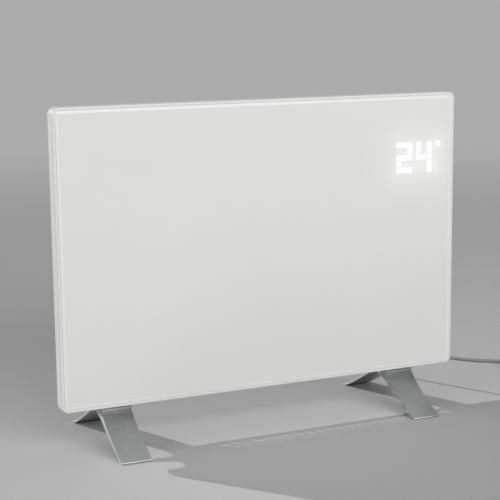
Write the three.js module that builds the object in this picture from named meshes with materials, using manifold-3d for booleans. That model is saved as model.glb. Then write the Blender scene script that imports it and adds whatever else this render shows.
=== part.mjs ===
// Wall panel convector heater on two feet: a white glass front with a cell display, a louvred steel housing
// behind it, a finned heating element inside, and a mains lead.
//
// Units are millimetres, +Z is up and the front faces -Y. The origin is on the floor, under the middle of the
// panel and midway between the front and rear tips of the feet.
//
// The body is laid out from its own corner: x from the panel's middle, y back from the face of the glass and
// z up from the panel's lower edge. Each outline's plane is named by the axis that it is extruded along.

import * as THREE from 'three';
import { mergeVertices } from 'three/addons/utils/BufferGeometryUtils.js';
import Module from 'manifold-3d';

// ---------------------------------------------------------------------------------------------------------
// Driving dimensions
// ---------------------------------------------------------------------------------------------------------

const GAP = 0.3; // between pieces that touch
const SHEET = 1; // pressed steel sheet
const BOARD = 1.6; // circuit boards

// Front panel
const PANEL_WIDTH = 740;
const PANEL_HEIGHT = 495;
const PANEL_BOTTOM = 73; // height of the panel's lower edge above the floor
const PANEL_CORNER_R = 12;
const FRAME_DEPTH = 25;
const FRAME_RIM = 4.4; // width of the rim round the glass
const FRAME_SETBACK = 0.5; // of the rim behind the face of the glass
const FRAME_FRONT_R = 4;
const FRAME_REAR_R = 1.5;
const FRAME_WALL = 3;
const FRAME_LEDGE = 9; // reach of the ledge behind the glass
const FRAME_LEDGE_THICK = 3;
const GLASS_THICK = 4;
const GLASS_BEVEL = 5;
const GLASS_BEVEL_DROP = 0.6;
const TAPE_THICK = 0.8;
const PAN_WIRE_HOLE_R = 8;

// Display: square cells in a matrix, read through the glass
const CELL = 9.8;
const CELL_PITCH = 11.2;
const CELL_HEIGHT = 3;
const DIGIT_COLUMNS = 3;
const DIGIT_ROWS = 5;
const DIGIT_GAP = 8;
const DIGIT_COUNT = 2;
const DISPLAY_RIGHT = 28.9; // from the panel's right edge to the degree cell
const DISPLAY_TOP = 85.5; // from the panel's top edge to the top row of cells
const GUIDE_PLATE = 2;
const CASE_WALL = 2;
const CASE_MARGIN = 5; // from the cells to the case's inner walls
const CASE_DEPTH = 15;
const TOUCH_BOARD_WIDTH = 80;
const TOUCH_BOARD_HEIGHT = 14;
const TOUCH_BOARD_DROP = 12; // below the display case

// Rear housing
const HOUSING_SIDE_INSET = 34;
const HOUSING_TOP_INSET = 14;
const HOUSING_BOTTOM_INSET = 0;
const HOUSING_DEPTH = 94.7;
const HOUSING_CORNER_R = 14;
const HOUSING_BACK_R = 6;
const HOUSING_FLANGE = 10;
const HOUSING_FIELD_RISE = 2; // raised field pressed into the back
const HOUSING_FIELD_SIDE = 101; // from the housing's side to the field
const HOUSING_FIELD_BELOW = 81;
const HOUSING_FIELD_ABOVE = 156;
const KEYHOLE_SPACING = 400;
const KEYHOLE_DROP = 71; // below the housing's top
const KEYHOLE_R = 6.5;
const KEYHOLE_SLOT = 7;
const KEYHOLE_RISE = 14;
const HOUSING_SCREWS_PER_SIDE = 3;
const HOUSING_SCREW_END = 48.5; // from the housing's end to its last screw
const SCREW_HEAD_R = 3.5;
const SCREW_HEAD_H = 2.2;
const SCREW_SHANK_R = 1.6;
const SCREW_LENGTH = 7;

// Air grilles
const OUTLET_MARGIN = 36; // from the housing's side to the grille
const OUTLET_WIDTH = 58;
const OUTLET_LIP = 5;
const OUTLET_DEPTH = 11;
const OUTLET_WALL = 2;
const LOUVRE_PITCH = 12;
const LOUVRE_THICK = 1.8;
const LOUVRE_LEAN = 25; // degrees from upright
const INLET_MARGIN = 68; // from the housing's side to the grille
const INLET_WIDTH = 50;
const INLET_BEHIND = 7; // from the housing's back to the grille
const INLET_LIP = 5;
const INLET_PITCH = 19.6; // of the slots in the grille and in the housing's back
const INLET_BAR = 4;
const BACK_SLOT = 9;
const BACK_SLOT_LOW = 7; // above the housing's bottom
const BACK_SLOT_HEIGHT = 15;
const GRILLE_PLATE = 1.4;

// Heating element: an X-shaped finned extrusion on a sheathed rod
const ELEMENT_END_ROOM = 62; // at each end of it, for its bracket and stud
const ELEMENT_Z = 118;
const ELEMENT_CORE_R = 8;
const ELEMENT_BORE_R = 4.7;
const ELEMENT_WING = 34; // reach of a wing from the axis
const ELEMENT_WING_THICK = 2.6;
const ELEMENT_WING_ANGLE = 32; // degrees each side of upright
const ELEMENT_SLOT = 3;
const ELEMENT_SLOT_PITCH = 18;
const ROD_R = 4.2;
const ROD_STUD_R = 2.2;
const ROD_STUD = 11;
const BUSH_FLANGE_R = 9;
const BUSH_R = 6.5;
const BUSH_FLANGE = 3;
const BRACKET_REACH = 14; // past the element's axis
const BRACKET_HEIGHT = 60;
const BRACKET_FOOT = 20;
const SHIELD_THICK = 1;
const SHIELD_STANDOFF = 6;
const SHIELD_HEIGHT = 170;
const SHIELD_HEM = 12;
const CUTOUT_R = 8;
const CUTOUT_DEPTH = 9;
const CUTOUT_RISE = 52; // above the element's axis
const SENSOR_R = 3;
const SENSOR_HEIGHT = 26;
const SENSOR_INSET = 105; // from the housing's left side
const SENSOR_FROM_FRONT = 22;

// Control box and what it holds
const BOX_WIDTH = 62;
const BOX_BOTTOM = 36;
const BOX_HEIGHT = 264;
const BOX_WALL = 2;
const BOX_BOSS = 6;
const BOX_BOSS_R = 3.5;
const POWER_BOARD_WIDTH = 50;
const POWER_BOARD_BELOW = 70; // room under it in the box
const POWER_BOARD_ABOVE = 14;
const RELAY_SIZE = [16, 13, 29]; // off the board, along y, along z
const CAPACITOR_R = 8;
const CAPACITOR_LENGTH = 20;
const CAPACITOR_ASIDE = 15.5; // from the board's middle line
const CAPACITOR_RISE = 82; // above the board's lower edge
const TERMINAL_RISE = 14;
const TERMINAL_SIZE = [14, 36, 12];
const TERMINAL_WAYS = 3;
const TERMINAL_SCREW_R = 2.4;

// Rocker switch in the housing's right wall
const ROCKER_Z = 160;
const ROCKER_BEZEL_WIDTH = 25;
const ROCKER_BEZEL_HEIGHT = 34;
const ROCKER_BEZEL_THICK = 2;
const ROCKER_BODY_WIDTH = 21.6;
const ROCKER_BODY_HEIGHT = 30;
const ROCKER_BODY_DEPTH = 22;
const ROCKER_POCKET_WIDTH = 17;
const ROCKER_POCKET_HEIGHT = 26.4;
const ROCKER_POCKET_DEPTH = 15;
const ROCKER_PIVOT_DEPTH = 7.6; // below the bezel's face
const ROCKER_PIVOT_R = 1.6;
const ROCKER_HALF = 11.3; // half the key's length
const ROCKER_TILT = 10; // degrees each side of level

// Tip-over switch
const TILT_FROM_BOX = 40.6; // from the box's left side
const TILT_FROM_FRONT = 26.4;
const TILT_EAR_SPAN = 18; // between the ears
const TILT_EAR_WIDTH = 26;
const TILT_EAR_ABOVE = 17; // above the pin
const TILT_PIN_R = 1.8;
const TILT_ARM = 25; // from the pin to the middle of the weight
const TILT_FLOOR_ROOM = 7; // under the weight
const TILT_WEIGHT_R = 10;
const TILT_WEIGHT_THICK = 10;
const MICROSWITCH_SIZE = [6.4, 20, 10];

// Feet: an arched aluminium section, cut to width
const FOOT_INSET = 72.8; // from the panel's side to the foot
const FOOT_WIDTH = 52;
const FOOT_FRONT_REACH = 77; // in front of the glass
const FOOT_REAR_REACH = 186; // behind the glass
const FOOT_LIFT = 0.8; // of the metal above the floor, on its pads
const FOOT_TIP = 1.6; // height of the metal at the tips
const FOOT_SHOULDER_Y = 16.5;
const FOOT_SHOULDER_DROP = 13; // below the panel
const FOOT_NECK_DEPTH = 34;
const FOOT_NECK_CLEAR = 0.7; // behind the housing's flange
const FOOT_ARCH_Y = 57; // crown of the arch under the foot
const FOOT_ARCH_DROP = 16.5; // below the panel
const FOOT_SCREW_SPACING = 26;
const FOOT_SCREW_R = 2.5;
const FOOT_SCREW_HEAD_R = 4.6;
const FOOT_SCREW_HEAD_H = 4.5;
const FOOT_SEAT_DROP = 5; // of the screws' seats, below the panel
const NUT_PLATE = 3;
const NUT_PLATE_WIDTH = 44;
const NUT_PLATE_DEPTH = 26;
const PAD_THICK = 1.4;
const PAD_LENGTH = 9;
const PAD_MARGIN = 3;

// Mains lead
const CORD_R = 3.2;
const CORD_SIDES = 8;
const CORD_STEPS = 76;
const CORD_CLEAR = 0.2; // under the lead where it lies
const GLAND_FROM_BOX = 32.6; // from the box's left side
const GLAND_Z = 50;
const GLAND_FLANGE_R = 10;
const GLAND_FLANGE = 3;
const GLAND_LENGTH = 38;
const GLAND_NECK_R = 6;
const GLAND_END_R = 4.4;
const GLAND_NUT_R = 9.5;
const GLAND_NUT = 5;
const COIL_R = 42.7; // outer turn's centre line
const COIL_STEP = 7; // from turn to turn and from layer to layer
const COIL_TURNS = 4.25;
const COIL_LAYERS = 2;
const COIL_STEPS_PER_TURN = 24;
const COIL_SIDES = 6;
const COIL_LEAD_OUT = 46; // straight run from the coil to the plug
const LEAD_OUT_POINTS = 11;
const PLUG_LENGTH = 42;
const PLUG_R = 18.5;
const PLUG_TAIL_R = 5.5;
const PLUG_TAIL = 24;
const PLUG_FACE_INSET = 1.5;
const PLUG_PIN_R = 2.4;
const PLUG_PIN_LENGTH = 19;
const PLUG_PIN_SPACING = 19;

// ---------------------------------------------------------------------------------------------------------
// Sizes worked out from the driving dimensions
// ---------------------------------------------------------------------------------------------------------

const GLASS_FACE_Y = -(FOOT_FRONT_REACH + FOOT_REAR_REACH) / 2 + FOOT_FRONT_REACH;
const FRAME_BACK = FRAME_DEPTH;
const LEDGE_FRONT = GLASS_THICK + TAPE_THICK + 2 * GAP;
const LEDGE_BACK = LEDGE_FRONT + FRAME_LEDGE_THICK;
const GLASS_WIDTH = PANEL_WIDTH - 2 * (FRAME_RIM + GAP);
const GLASS_HEIGHT = PANEL_HEIGHT - 2 * (FRAME_RIM + GAP);
const GLASS_CORNER_R = PANEL_CORNER_R - FRAME_RIM - GAP;
const PANEL_MID_Z = PANEL_HEIGHT / 2;

const HOUSING_FRONT = FRAME_BACK + GAP;
const HOUSING_BACK = HOUSING_FRONT + HOUSING_DEPTH;
const HOUSING_WIDTH = PANEL_WIDTH - 2 * HOUSING_SIDE_INSET;
const HOUSING_HEIGHT = PANEL_HEIGHT - HOUSING_TOP_INSET - HOUSING_BOTTOM_INSET;
const HOUSING_MID_Z = HOUSING_BOTTOM_INSET + HOUSING_HEIGHT / 2;
const HOUSING_TOP = PANEL_HEIGHT - HOUSING_TOP_INSET;
const HOUSING_FLOOR = HOUSING_BOTTOM_INSET + SHEET; // inside
const HOUSING_SIDE = HOUSING_WIDTH / 2;
const HOUSING_INNER_BACK = HOUSING_BACK - SHEET;
const HOUSING_FIELD_WIDTH = HOUSING_WIDTH - 2 * HOUSING_FIELD_SIDE;
const HOUSING_FIELD_HEIGHT = HOUSING_HEIGHT - HOUSING_FIELD_BELOW - HOUSING_FIELD_ABOVE;
const HOUSING_FIELD_Z = HOUSING_BOTTOM_INSET + HOUSING_FIELD_BELOW + HOUSING_FIELD_HEIGHT / 2;
const HOUSING_SCREW_SPACING = (HOUSING_HEIGHT - 2 * HOUSING_SCREW_END) / (HOUSING_SCREWS_PER_SIDE - 1);
const KEYHOLE_Z = HOUSING_TOP - KEYHOLE_DROP;
const OUTLET_LENGTH = HOUSING_WIDTH - 2 * OUTLET_MARGIN;
const INLET_LENGTH = HOUSING_WIDTH - 2 * INLET_MARGIN;
const INLET_Y = HOUSING_BACK - INLET_BEHIND - INLET_WIDTH / 2;
const DUCT_Y = (HOUSING_FRONT + HOUSING_BACK) / 2;

const DIGIT_WIDTH = (DIGIT_COLUMNS - 1) * CELL_PITCH + CELL;
const DIGIT_HEIGHT = (DIGIT_ROWS - 1) * CELL_PITCH + CELL;
const DEGREE_X = PANEL_WIDTH / 2 - DISPLAY_RIGHT - CELL; // left side of the degree cell
const CELLS_LEFT = DEGREE_X - DIGIT_COUNT * (DIGIT_WIDTH + DIGIT_GAP);
const CELLS_RIGHT = DEGREE_X + CELL;
const CELLS_TOP = PANEL_HEIGHT - DISPLAY_TOP;
const CELLS_BOTTOM = CELLS_TOP - DIGIT_HEIGHT;
const CASE_X = (CELLS_LEFT + CELLS_RIGHT) / 2;
const CASE_Z = (CELLS_TOP + CELLS_BOTTOM) / 2;
const CASE_INNER_WIDTH = CELLS_RIGHT - CELLS_LEFT + 2 * CASE_MARGIN;
const CASE_INNER_HEIGHT = DIGIT_HEIGHT + 2 * CASE_MARGIN;
const CASE_FRONT = GLASS_THICK + GAP;
const CASE_BACK = CASE_FRONT + CASE_DEPTH;
const GUIDE_FRONT = GLASS_THICK + GAP;
const GUIDE_PLATE_FRONT = GUIDE_FRONT + CELL_HEIGHT;
const DISPLAY_BOARD_FRONT = GUIDE_PLATE_FRONT + GUIDE_PLATE + GAP;

const BOX_RIGHT = HOUSING_SIDE - HOUSING_BACK_R - 2 * GAP;
const BOX_LEFT = BOX_RIGHT - BOX_WIDTH;
const BOX_FRONT = HOUSING_FRONT + GAP;
const BOX_BACK = HOUSING_INNER_BACK - GAP;
const POWER_BOARD_HEIGHT = BOX_HEIGHT - POWER_BOARD_BELOW - POWER_BOARD_ABOVE;
const POWER_BOARD_Z = BOX_BOTTOM + POWER_BOARD_BELOW + POWER_BOARD_HEIGHT / 2;
const POWER_BOARD_X = BOX_LEFT + BOX_WALL + BOX_BOSS + GAP;
const COMPONENT_X = POWER_BOARD_X + BOARD + GAP;
const SHIELD_FRONT = HOUSING_FRONT;
const SHIELD_BACK = SHIELD_FRONT + SHIELD_STANDOFF;
const ELEMENT_Y = (SHIELD_BACK + HOUSING_BACK) / 2;
const ELEMENT_LENGTH = BOX_LEFT + HOUSING_SIDE - 2 * ELEMENT_END_ROOM;
const ELEMENT_X = (BOX_LEFT - HOUSING_SIDE) / 2;
const BRACKET_OFFSET = ELEMENT_LENGTH / 2 + 8;
const BRACKET_WIDTH = HOUSING_INNER_BACK - GAP - ELEMENT_Y + BRACKET_REACH;
const SENSOR_X = SENSOR_INSET - HOUSING_SIDE;
const TILT_X = BOX_LEFT + TILT_FROM_BOX;
const TILT_Y = BOX_FRONT + TILT_FROM_FRONT;
const TILT_PIN_Z = SHEET + TILT_FLOOR_ROOM + TILT_WEIGHT_R + TILT_ARM;
const TILT_EAR_HEIGHT = TILT_PIN_Z + TILT_EAR_ABOVE;
const GLAND_X = BOX_LEFT + GLAND_FROM_BOX;

const FOOT_MID_X = PANEL_WIDTH / 2 - FOOT_INSET - FOOT_WIDTH / 2;
const FOOT_SHOULDER_Z = PANEL_BOTTOM - FOOT_SHOULDER_DROP;
const FOOT_ARCH_Z = PANEL_BOTTOM - FOOT_ARCH_DROP;
const FOOT_SEAT = PANEL_BOTTOM - FOOT_SEAT_DROP;
const FOOT_NECK_FRONT = HOUSING_FRONT + SHEET + FOOT_NECK_CLEAR;
const FOOT_NECK_BACK = FOOT_NECK_FRONT + FOOT_NECK_DEPTH;
const FOOT_NECK_TOP = PANEL_BOTTOM + HOUSING_BOTTOM_INSET - GAP;
const FOOT_SCREW_Y = (FOOT_NECK_FRONT + FOOT_NECK_BACK) / 2;

// ---------------------------------------------------------------------------------------------------------
// Solids
// ---------------------------------------------------------------------------------------------------------

const wasm = await Module();
wasm.setup();
const WELD = 1e-4;

/** Turns a closed geometry into a solid that can be joined and cut. */
function toSolid(geometry) {
  const bare = new THREE.BufferGeometry();
  const flat = geometry.index ? geometry.toNonIndexed() : geometry;
  bare.setAttribute('position', flat.getAttribute('position').clone());
  const merged = mergeVertices(bare, WELD);
  const corners = merged.index.array;
  const faces = [];
  for (let i = 0; i < corners.length; i += 3) {
    const [a, b, c] = corners.slice(i, i + 3);
    if (a !== b && b !== c && c !== a) faces.push(a, b, c);
  }
  const vertProperties = new Float32Array(merged.attributes.position.array);
  const triVerts = new Uint32Array(faces);
  return new wasm.Manifold(new wasm.Mesh({ numProp: 3, vertProperties, triVerts }));
}

/** Turns a solid back into a geometry. */
function toGeometry(solid) {
  const mesh = solid.getMesh();
  const geometry = new THREE.BufferGeometry();
  geometry.setAttribute('position', new THREE.BufferAttribute(mesh.vertProperties, 3));
  geometry.setIndex(new THREE.BufferAttribute(mesh.triVerts, 1));
  return geometry;
}

/** One solid out of a list of geometries or solids. */
function joined(pieces) {
  return pieces.map((piece) => (piece.isBufferGeometry ? toSolid(piece) : piece)).reduce((a, b) => a.add(b));
}

/** The first piece with the others joined on. */
function join(...pieces) {
  return toGeometry(joined(pieces));
}

/** The first piece with the others cut out of it. */
function cut(base, ...tools) {
  return toGeometry(joined([base]).subtract(joined(tools)));
}

/** A box between two corners. */
function block([x0, y0, z0], [x1, y1, z1]) {
  const box = new THREE.BoxGeometry(x1 - x0, y1 - y0, z1 - z0);
  return box.translate((x0 + x1) / 2, (y0 + y1) / 2, (z0 + z1) / 2);
}

const ALONG = {
  x: [[0, 1, 0], [0, 0, 1], [1, 0, 0]],
  y: [[1, 0, 0], [0, 0, 1], [0, -1, 0]],
  z: [[1, 0, 0], [0, 1, 0], [0, 0, 1]],
};

/** The turn that carries a drawing in the XY plane to the plane across the named axis. */
function facing(axis) {
  const [u, v, w] = ALONG[axis].map((direction) => new THREE.Vector3(...direction));
  return new THREE.Matrix4().makeBasis(u, v, w);
}

/** A prism of a shape along an axis, between two places on that axis. */
function prism(axis, shape, from, to) {
  const geometry = new THREE.ExtrudeGeometry(shape, { depth: to - from, bevelEnabled: false, curveSegments: 8 });
  const start = axis === 'y' ? -to : from;
  return geometry.translate(0, 0, start).applyMatrix4(facing(axis));
}

/** A shape through points given as [u, v] pairs. */
function polygon(points) {
  return new THREE.Shape(points.map(([u, v]) => new THREE.Vector2(u, v)));
}

/** Points of a rectangle with round corners, anticlockwise, about (u, v). */
function rectPoints(width, height, radius, u = 0, v = 0, steps = 4) {
  const points = [];
  const middles = [[1, 1], [-1, 1], [-1, -1], [1, -1]];
  middles.forEach(([sideU, sideV], quarter) => {
    for (let i = 0; i <= steps; i += 1) {
      const angle = (quarter + i / steps) * (Math.PI / 2);
      const middleU = u + sideU * (width / 2 - radius);
      const middleV = v + sideV * (height / 2 - radius);
      points.push([middleU + radius * Math.cos(angle), middleV + radius * Math.sin(angle)]);
    }
  });
  return points;
}

/** A rectangle with round corners as a shape. */
function roundRect(width, height, radius, u = 0, v = 0, steps = 4) {
  return polygon(rectPoints(width, height, radius, u, v, steps));
}

/** A flat ring: one shape with another cut out of it. */
function ringShape(outer, inner) {
  outer.holes.push(inner);
  return outer;
}

/**
 * A panel whose outline shrinks or grows along y: each section is [y, inset] of one rounded rectangle in the
 * XZ plane, from front to back.
 */
function steppedPanel(width, height, radius, middleZ, sections, steps = 5) {
  const outlines = sections.map(([y, inset]) => {
    const corner = Math.max(radius - inset, 0.4);
    const outline = rectPoints(width - 2 * inset, height - 2 * inset, corner, 0, middleZ, steps);
    return outline.map(([x, z]) => new THREE.Vector3(x, y, z));
  });
  const count = outlines[0].length;
  const faces = [];
  for (let s = 0; s + 1 < outlines.length; s += 1) {
    for (let i = 0; i < count; i += 1) {
      const j = (i + 1) % count;
      const [a, b] = [s * count, (s + 1) * count];
      faces.push(a + i, b + i, b + j, a + i, b + j, a + j);
    }
  }
  const flat = outlines[0].map((p) => new THREE.Vector2(p.x, p.z));
  const last = (outlines.length - 1) * count;
  THREE.ShapeUtils.triangulateShape(flat, []).forEach(([a, b, c]) => {
    faces.push(a, b, c, last + a, last + c, last + b);
  });
  const geometry = new THREE.BufferGeometry().setFromPoints(outlines.flat());
  geometry.setIndex(faces);
  return geometry;
}

/** Sections [y, inset] of a rounded edge that starts at y and turns from the face to the side. */
function roundedEdge(y, radius, steps) {
  return Array.from({ length: steps + 1 }, (_, i) => {
    const angle = (i / steps) * (Math.PI / 2);
    return [y + radius * (1 - Math.cos(angle)), radius * (1 - Math.sin(angle))];
  });
}

/**
 * A solid of revolution about an axis, from a profile of [radius, distance] pairs. The profile starts and ends
 * on the axis, or closes on itself, and its distances run upwards on the outside.
 */
function revolve(axis, profile, segments = 16) {
  const points = profile.map(([radius, distance]) => new THREE.Vector2(radius, distance));
  const geometry = new THREE.LatheGeometry(points, segments);
  const upright = new THREE.Matrix4().makeRotationX(Math.PI / 2);
  const turn = facing(axis).multiply(upright);
  geometry.applyMatrix4(turn);
  return toGeometry(toSolid(geometry));
}

/** A round bar along an axis, between two places on it, through (u, v) of the plane across it. */
function bar(axis, radius, from, to, u = 0, v = 0, segments = 16) {
  const circle = Array.from({ length: segments }, (_, i) => {
    const angle = (i / segments) * 2 * Math.PI;
    return [u + radius * Math.cos(angle), v + radius * Math.sin(angle)];
  });
  return prism(axis, polygon(circle), from, to);
}

// ---------------------------------------------------------------------------------------------------------
// Finishes
// ---------------------------------------------------------------------------------------------------------

/** A material from a colour, a roughness and a metalness. */
function finish(color, roughness, metalness = 0) {
  return new THREE.MeshStandardMaterial({ color, roughness, metalness });
}

const GLASS_WHITE = () => finish(0xe6e8e8, 0.12);
const FRAME_WHITE = () => finish(0xe2e4e4, 0.3);
const POWDER_WHITE = () => finish(0xdedfdd, 0.55);
const GALVANISED = () => finish(0xa9adb0, 0.4, 0.9);
const ALUMINIUM = () => finish(0xb9bcc0, 0.35, 0.95);
const SATIN_FOOT = () => finish(0x9ea0a3, 0.3, 1);
const STEEL = () => finish(0x9a9c9f, 0.35, 1);
const BLACK_PLASTIC = () => finish(0x1e1f21, 0.5);
const WHITE_PLASTIC = () => finish(0xd8d9d7, 0.45);
const DIFFUSER = () => finish(0xf2f4f5, 0.5);
const BOARD_GREEN = () => finish(0x2c5a3c, 0.5);
const RUBBER = () => finish(0x26272a, 0.85);
const CERAMIC = () => finish(0xe4ded0, 0.6);
const CORD_GREY = () => finish(0x9a9b9c, 0.6);
const BRASS = () => finish(0xc0a464, 0.3, 1);

/** A named mesh. */
function part(name, geometry, material) {
  const mesh = new THREE.Mesh(geometry, material());
  mesh.name = name;
  return mesh;
}

// ---------------------------------------------------------------------------------------------------------
// Front panel
// ---------------------------------------------------------------------------------------------------------

/** Tempered glass sheet with a polished bevel all round. */
function frontGlass() {
  const sections = [[0, GLASS_BEVEL], [GLASS_BEVEL_DROP, 0], [GLASS_THICK, 0]];
  return steppedPanel(GLASS_WIDTH, GLASS_HEIGHT, GLASS_CORNER_R, PANEL_MID_Z, sections);
}

/** Outline of the glass, grown or shrunk, as a shape in the XZ plane. */
function glassOutline(grow) {
  const radius = Math.max(GLASS_CORNER_R + grow, 1);
  return roundRect(GLASS_WIDTH + 2 * grow, GLASS_HEIGHT + 2 * grow, radius, 0, PANEL_MID_Z);
}

/** Foam tape between the glass and the frame's ledge. */
function glassTape() {
  const ring = ringShape(glassOutline(-1), glassOutline(-FRAME_LEDGE + 1));
  return prism('y', ring, GLASS_THICK + GAP, GLASS_THICK + GAP + TAPE_THICK);
}

/** Moulded frame with a rounded front rim, a ledge for the glass and an open back. */
function frontFrame() {
  const sections = [
    ...roundedEdge(FRAME_SETBACK, FRAME_FRONT_R, 5),
    [FRAME_BACK - FRAME_REAR_R, 0],
    [FRAME_BACK, FRAME_REAR_R],
  ];
  const body = steppedPanel(PANEL_WIDTH, PANEL_HEIGHT, PANEL_CORNER_R, PANEL_MID_Z, sections, 6);
  const recess = prism('y', glassOutline(GAP), -1, LEDGE_FRONT);
  const opening = prism('y', glassOutline(-FRAME_LEDGE), 0, FRAME_BACK);
  return cut(body, recess, opening, prism('y', frameInside(0), LEDGE_BACK, FRAME_BACK + 1));
}

/** Outline of the space inside the frame's side walls, shrunk by a clearance. */
function frameInside(clearance) {
  const inset = FRAME_WALL + clearance;
  const radius = PANEL_CORNER_R - inset;
  return roundRect(PANEL_WIDTH - 2 * inset, PANEL_HEIGHT - 2 * inset, radius, 0, PANEL_MID_Z);
}

/** Steel pan that closes the frame's back, with a turned edge that reaches the ledge. */
function backPan() {
  const front = LEDGE_BACK + GAP;
  const plateFront = FRAME_BACK - SHEET;
  const body = prism('y', frameInside(GAP), front, FRAME_BACK);
  const hollow = prism('y', frameInside(GAP + SHEET), front - 1, plateFront);
  const wireHole = bar('y', PAN_WIRE_HOLE_R, plateFront - 1, FRAME_BACK + 1, CASE_X, CASE_Z - CASE_INNER_HEIGHT);
  const screwHoles = housingScrewPlaces().map(([x, z]) => {
    return bar('y', SCREW_SHANK_R + GAP, plateFront - 1, FRAME_BACK + 1, x, z, 10);
  });
  return cut(body, hollow, wireHole, ...screwHoles);
}

// ---------------------------------------------------------------------------------------------------------
// Display
// ---------------------------------------------------------------------------------------------------------

/** Lower left corners of the display's cells, digit by digit, and of the degree cell. */
function cellCorners() {
  const corners = [];
  for (let digit = 0; digit < DIGIT_COUNT; digit += 1) {
    const left = CELLS_LEFT + digit * (DIGIT_WIDTH + DIGIT_GAP);
    for (let column = 0; column < DIGIT_COLUMNS; column += 1) {
      for (let row = 0; row < DIGIT_ROWS; row += 1) {
        corners.push([left + column * CELL_PITCH, CELLS_BOTTOM + row * CELL_PITCH]);
      }
    }
  }
  corners.push([DEGREE_X, CELLS_TOP - CELL]);
  return corners;
}

/** Moulded light guide: a plate with one raised square for each cell. */
function displayLightGuide() {
  const width = CASE_INNER_WIDTH - 2 * GAP;
  const height = CASE_INNER_HEIGHT - 2 * GAP;
  const plate = prism(
    'y',
    roundRect(width, height, 1, CASE_X, CASE_Z, 2),
    GUIDE_PLATE_FRONT,
    GUIDE_PLATE_FRONT + GUIDE_PLATE,
  );
  const cells = cellCorners().map(([x, z]) => {
    return block([x, GUIDE_FRONT, z], [x + CELL, GUIDE_PLATE_FRONT + GUIDE_PLATE / 2, z + CELL]);
  });
  return join(plate, ...cells);
}

/** Board with the light sources behind the guide, and its connector. */
function displayBoard() {
  const width = CASE_INNER_WIDTH - 4 * GAP;
  const height = CASE_INNER_HEIGHT - 4 * GAP;
  const back = DISPLAY_BOARD_FRONT + BOARD;
  const plate = prism('y', roundRect(width, height, 1, CASE_X, CASE_Z, 2), DISPLAY_BOARD_FRONT, back);
  const plug = block([CASE_X - 9, back - 0.5, CASE_Z - 4], [CASE_X + 9, back + 4, CASE_Z + 4]);
  return join(plate, plug);
}

/** Light-tight case, open to the glass, with four posts that carry the board. */
function displayCase() {
  const outerWidth = CASE_INNER_WIDTH + 2 * CASE_WALL;
  const outerHeight = CASE_INNER_HEIGHT + 2 * CASE_WALL;
  const floor = CASE_BACK - CASE_WALL;
  const body = prism('y', roundRect(outerWidth, outerHeight, 3, CASE_X, CASE_Z), CASE_FRONT, CASE_BACK);
  const inside = roundRect(CASE_INNER_WIDTH, CASE_INNER_HEIGHT, 1, CASE_X, CASE_Z, 2);
  const shell = cut(body, prism('y', inside, CASE_FRONT - 1, floor));
  const posts = [[-1, -1], [1, -1], [1, 1], [-1, 1]].map(([sideX, sideZ]) => {
    const x = CASE_X + sideX * (CASE_INNER_WIDTH / 2 - 6);
    const z = CASE_Z + sideZ * (CASE_INNER_HEIGHT / 2 - 6);
    return bar('y', 3, DISPLAY_BOARD_FRONT + BOARD + GAP, floor + 1, x, z, 12);
  });
  const outlet = block([CASE_X - 12, floor - 1, CASE_Z - 7], [CASE_X + 12, CASE_BACK + 1, CASE_Z + 7]);
  return cut(join(shell, ...posts), outlet);
}

/** Touch key board behind the glass, under the display. */
function touchBoard() {
  const top = CASE_Z - CASE_INNER_HEIGHT / 2 - CASE_WALL - TOUCH_BOARD_DROP;
  const front = GLASS_THICK + GAP;
  const outline = roundRect(TOUCH_BOARD_WIDTH, TOUCH_BOARD_HEIGHT, 2, CASE_X, top - TOUCH_BOARD_HEIGHT / 2, 2);
  return prism('y', outline, front, front + BOARD);
}

// ---------------------------------------------------------------------------------------------------------
// Rear housing and its grilles
// ---------------------------------------------------------------------------------------------------------

/** Places of the housing screws, as [x, z]. */
function housingScrewPlaces() {
  const places = [];
  for (const side of [-1, 1]) {
    for (let i = 0; i < HOUSING_SCREWS_PER_SIDE; i += 1) {
      const step = i - (HOUSING_SCREWS_PER_SIDE - 1) / 2;
      const x = side * (HOUSING_SIDE + HOUSING_FLANGE / 2);
      places.push([x, HOUSING_MID_Z + step * HOUSING_SCREW_SPACING]);
    }
  }
  return places;
}

/** Keyhole for a wall hook: a round mouth with a slot above it. */
function keyhole(x) {
  const mouth = bar('y', KEYHOLE_R, HOUSING_INNER_BACK - 2, HOUSING_BACK + 2, x, KEYHOLE_Z, 16);
  const half = KEYHOLE_SLOT / 2;
  const top = KEYHOLE_Z + KEYHOLE_RISE;
  const arc = Array.from({ length: 7 }, (_, i) => {
    const angle = (i / 6) * Math.PI;
    return [x + half * Math.cos(angle), top + half * Math.sin(angle)];
  });
  const slot = polygon([[x - half, KEYHOLE_Z], [x + half, KEYHOLE_Z], ...arc]);
  return joined([mouth, prism('y', slot, HOUSING_INNER_BACK - 2, HOUSING_BACK + 2)]);
}

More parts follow.
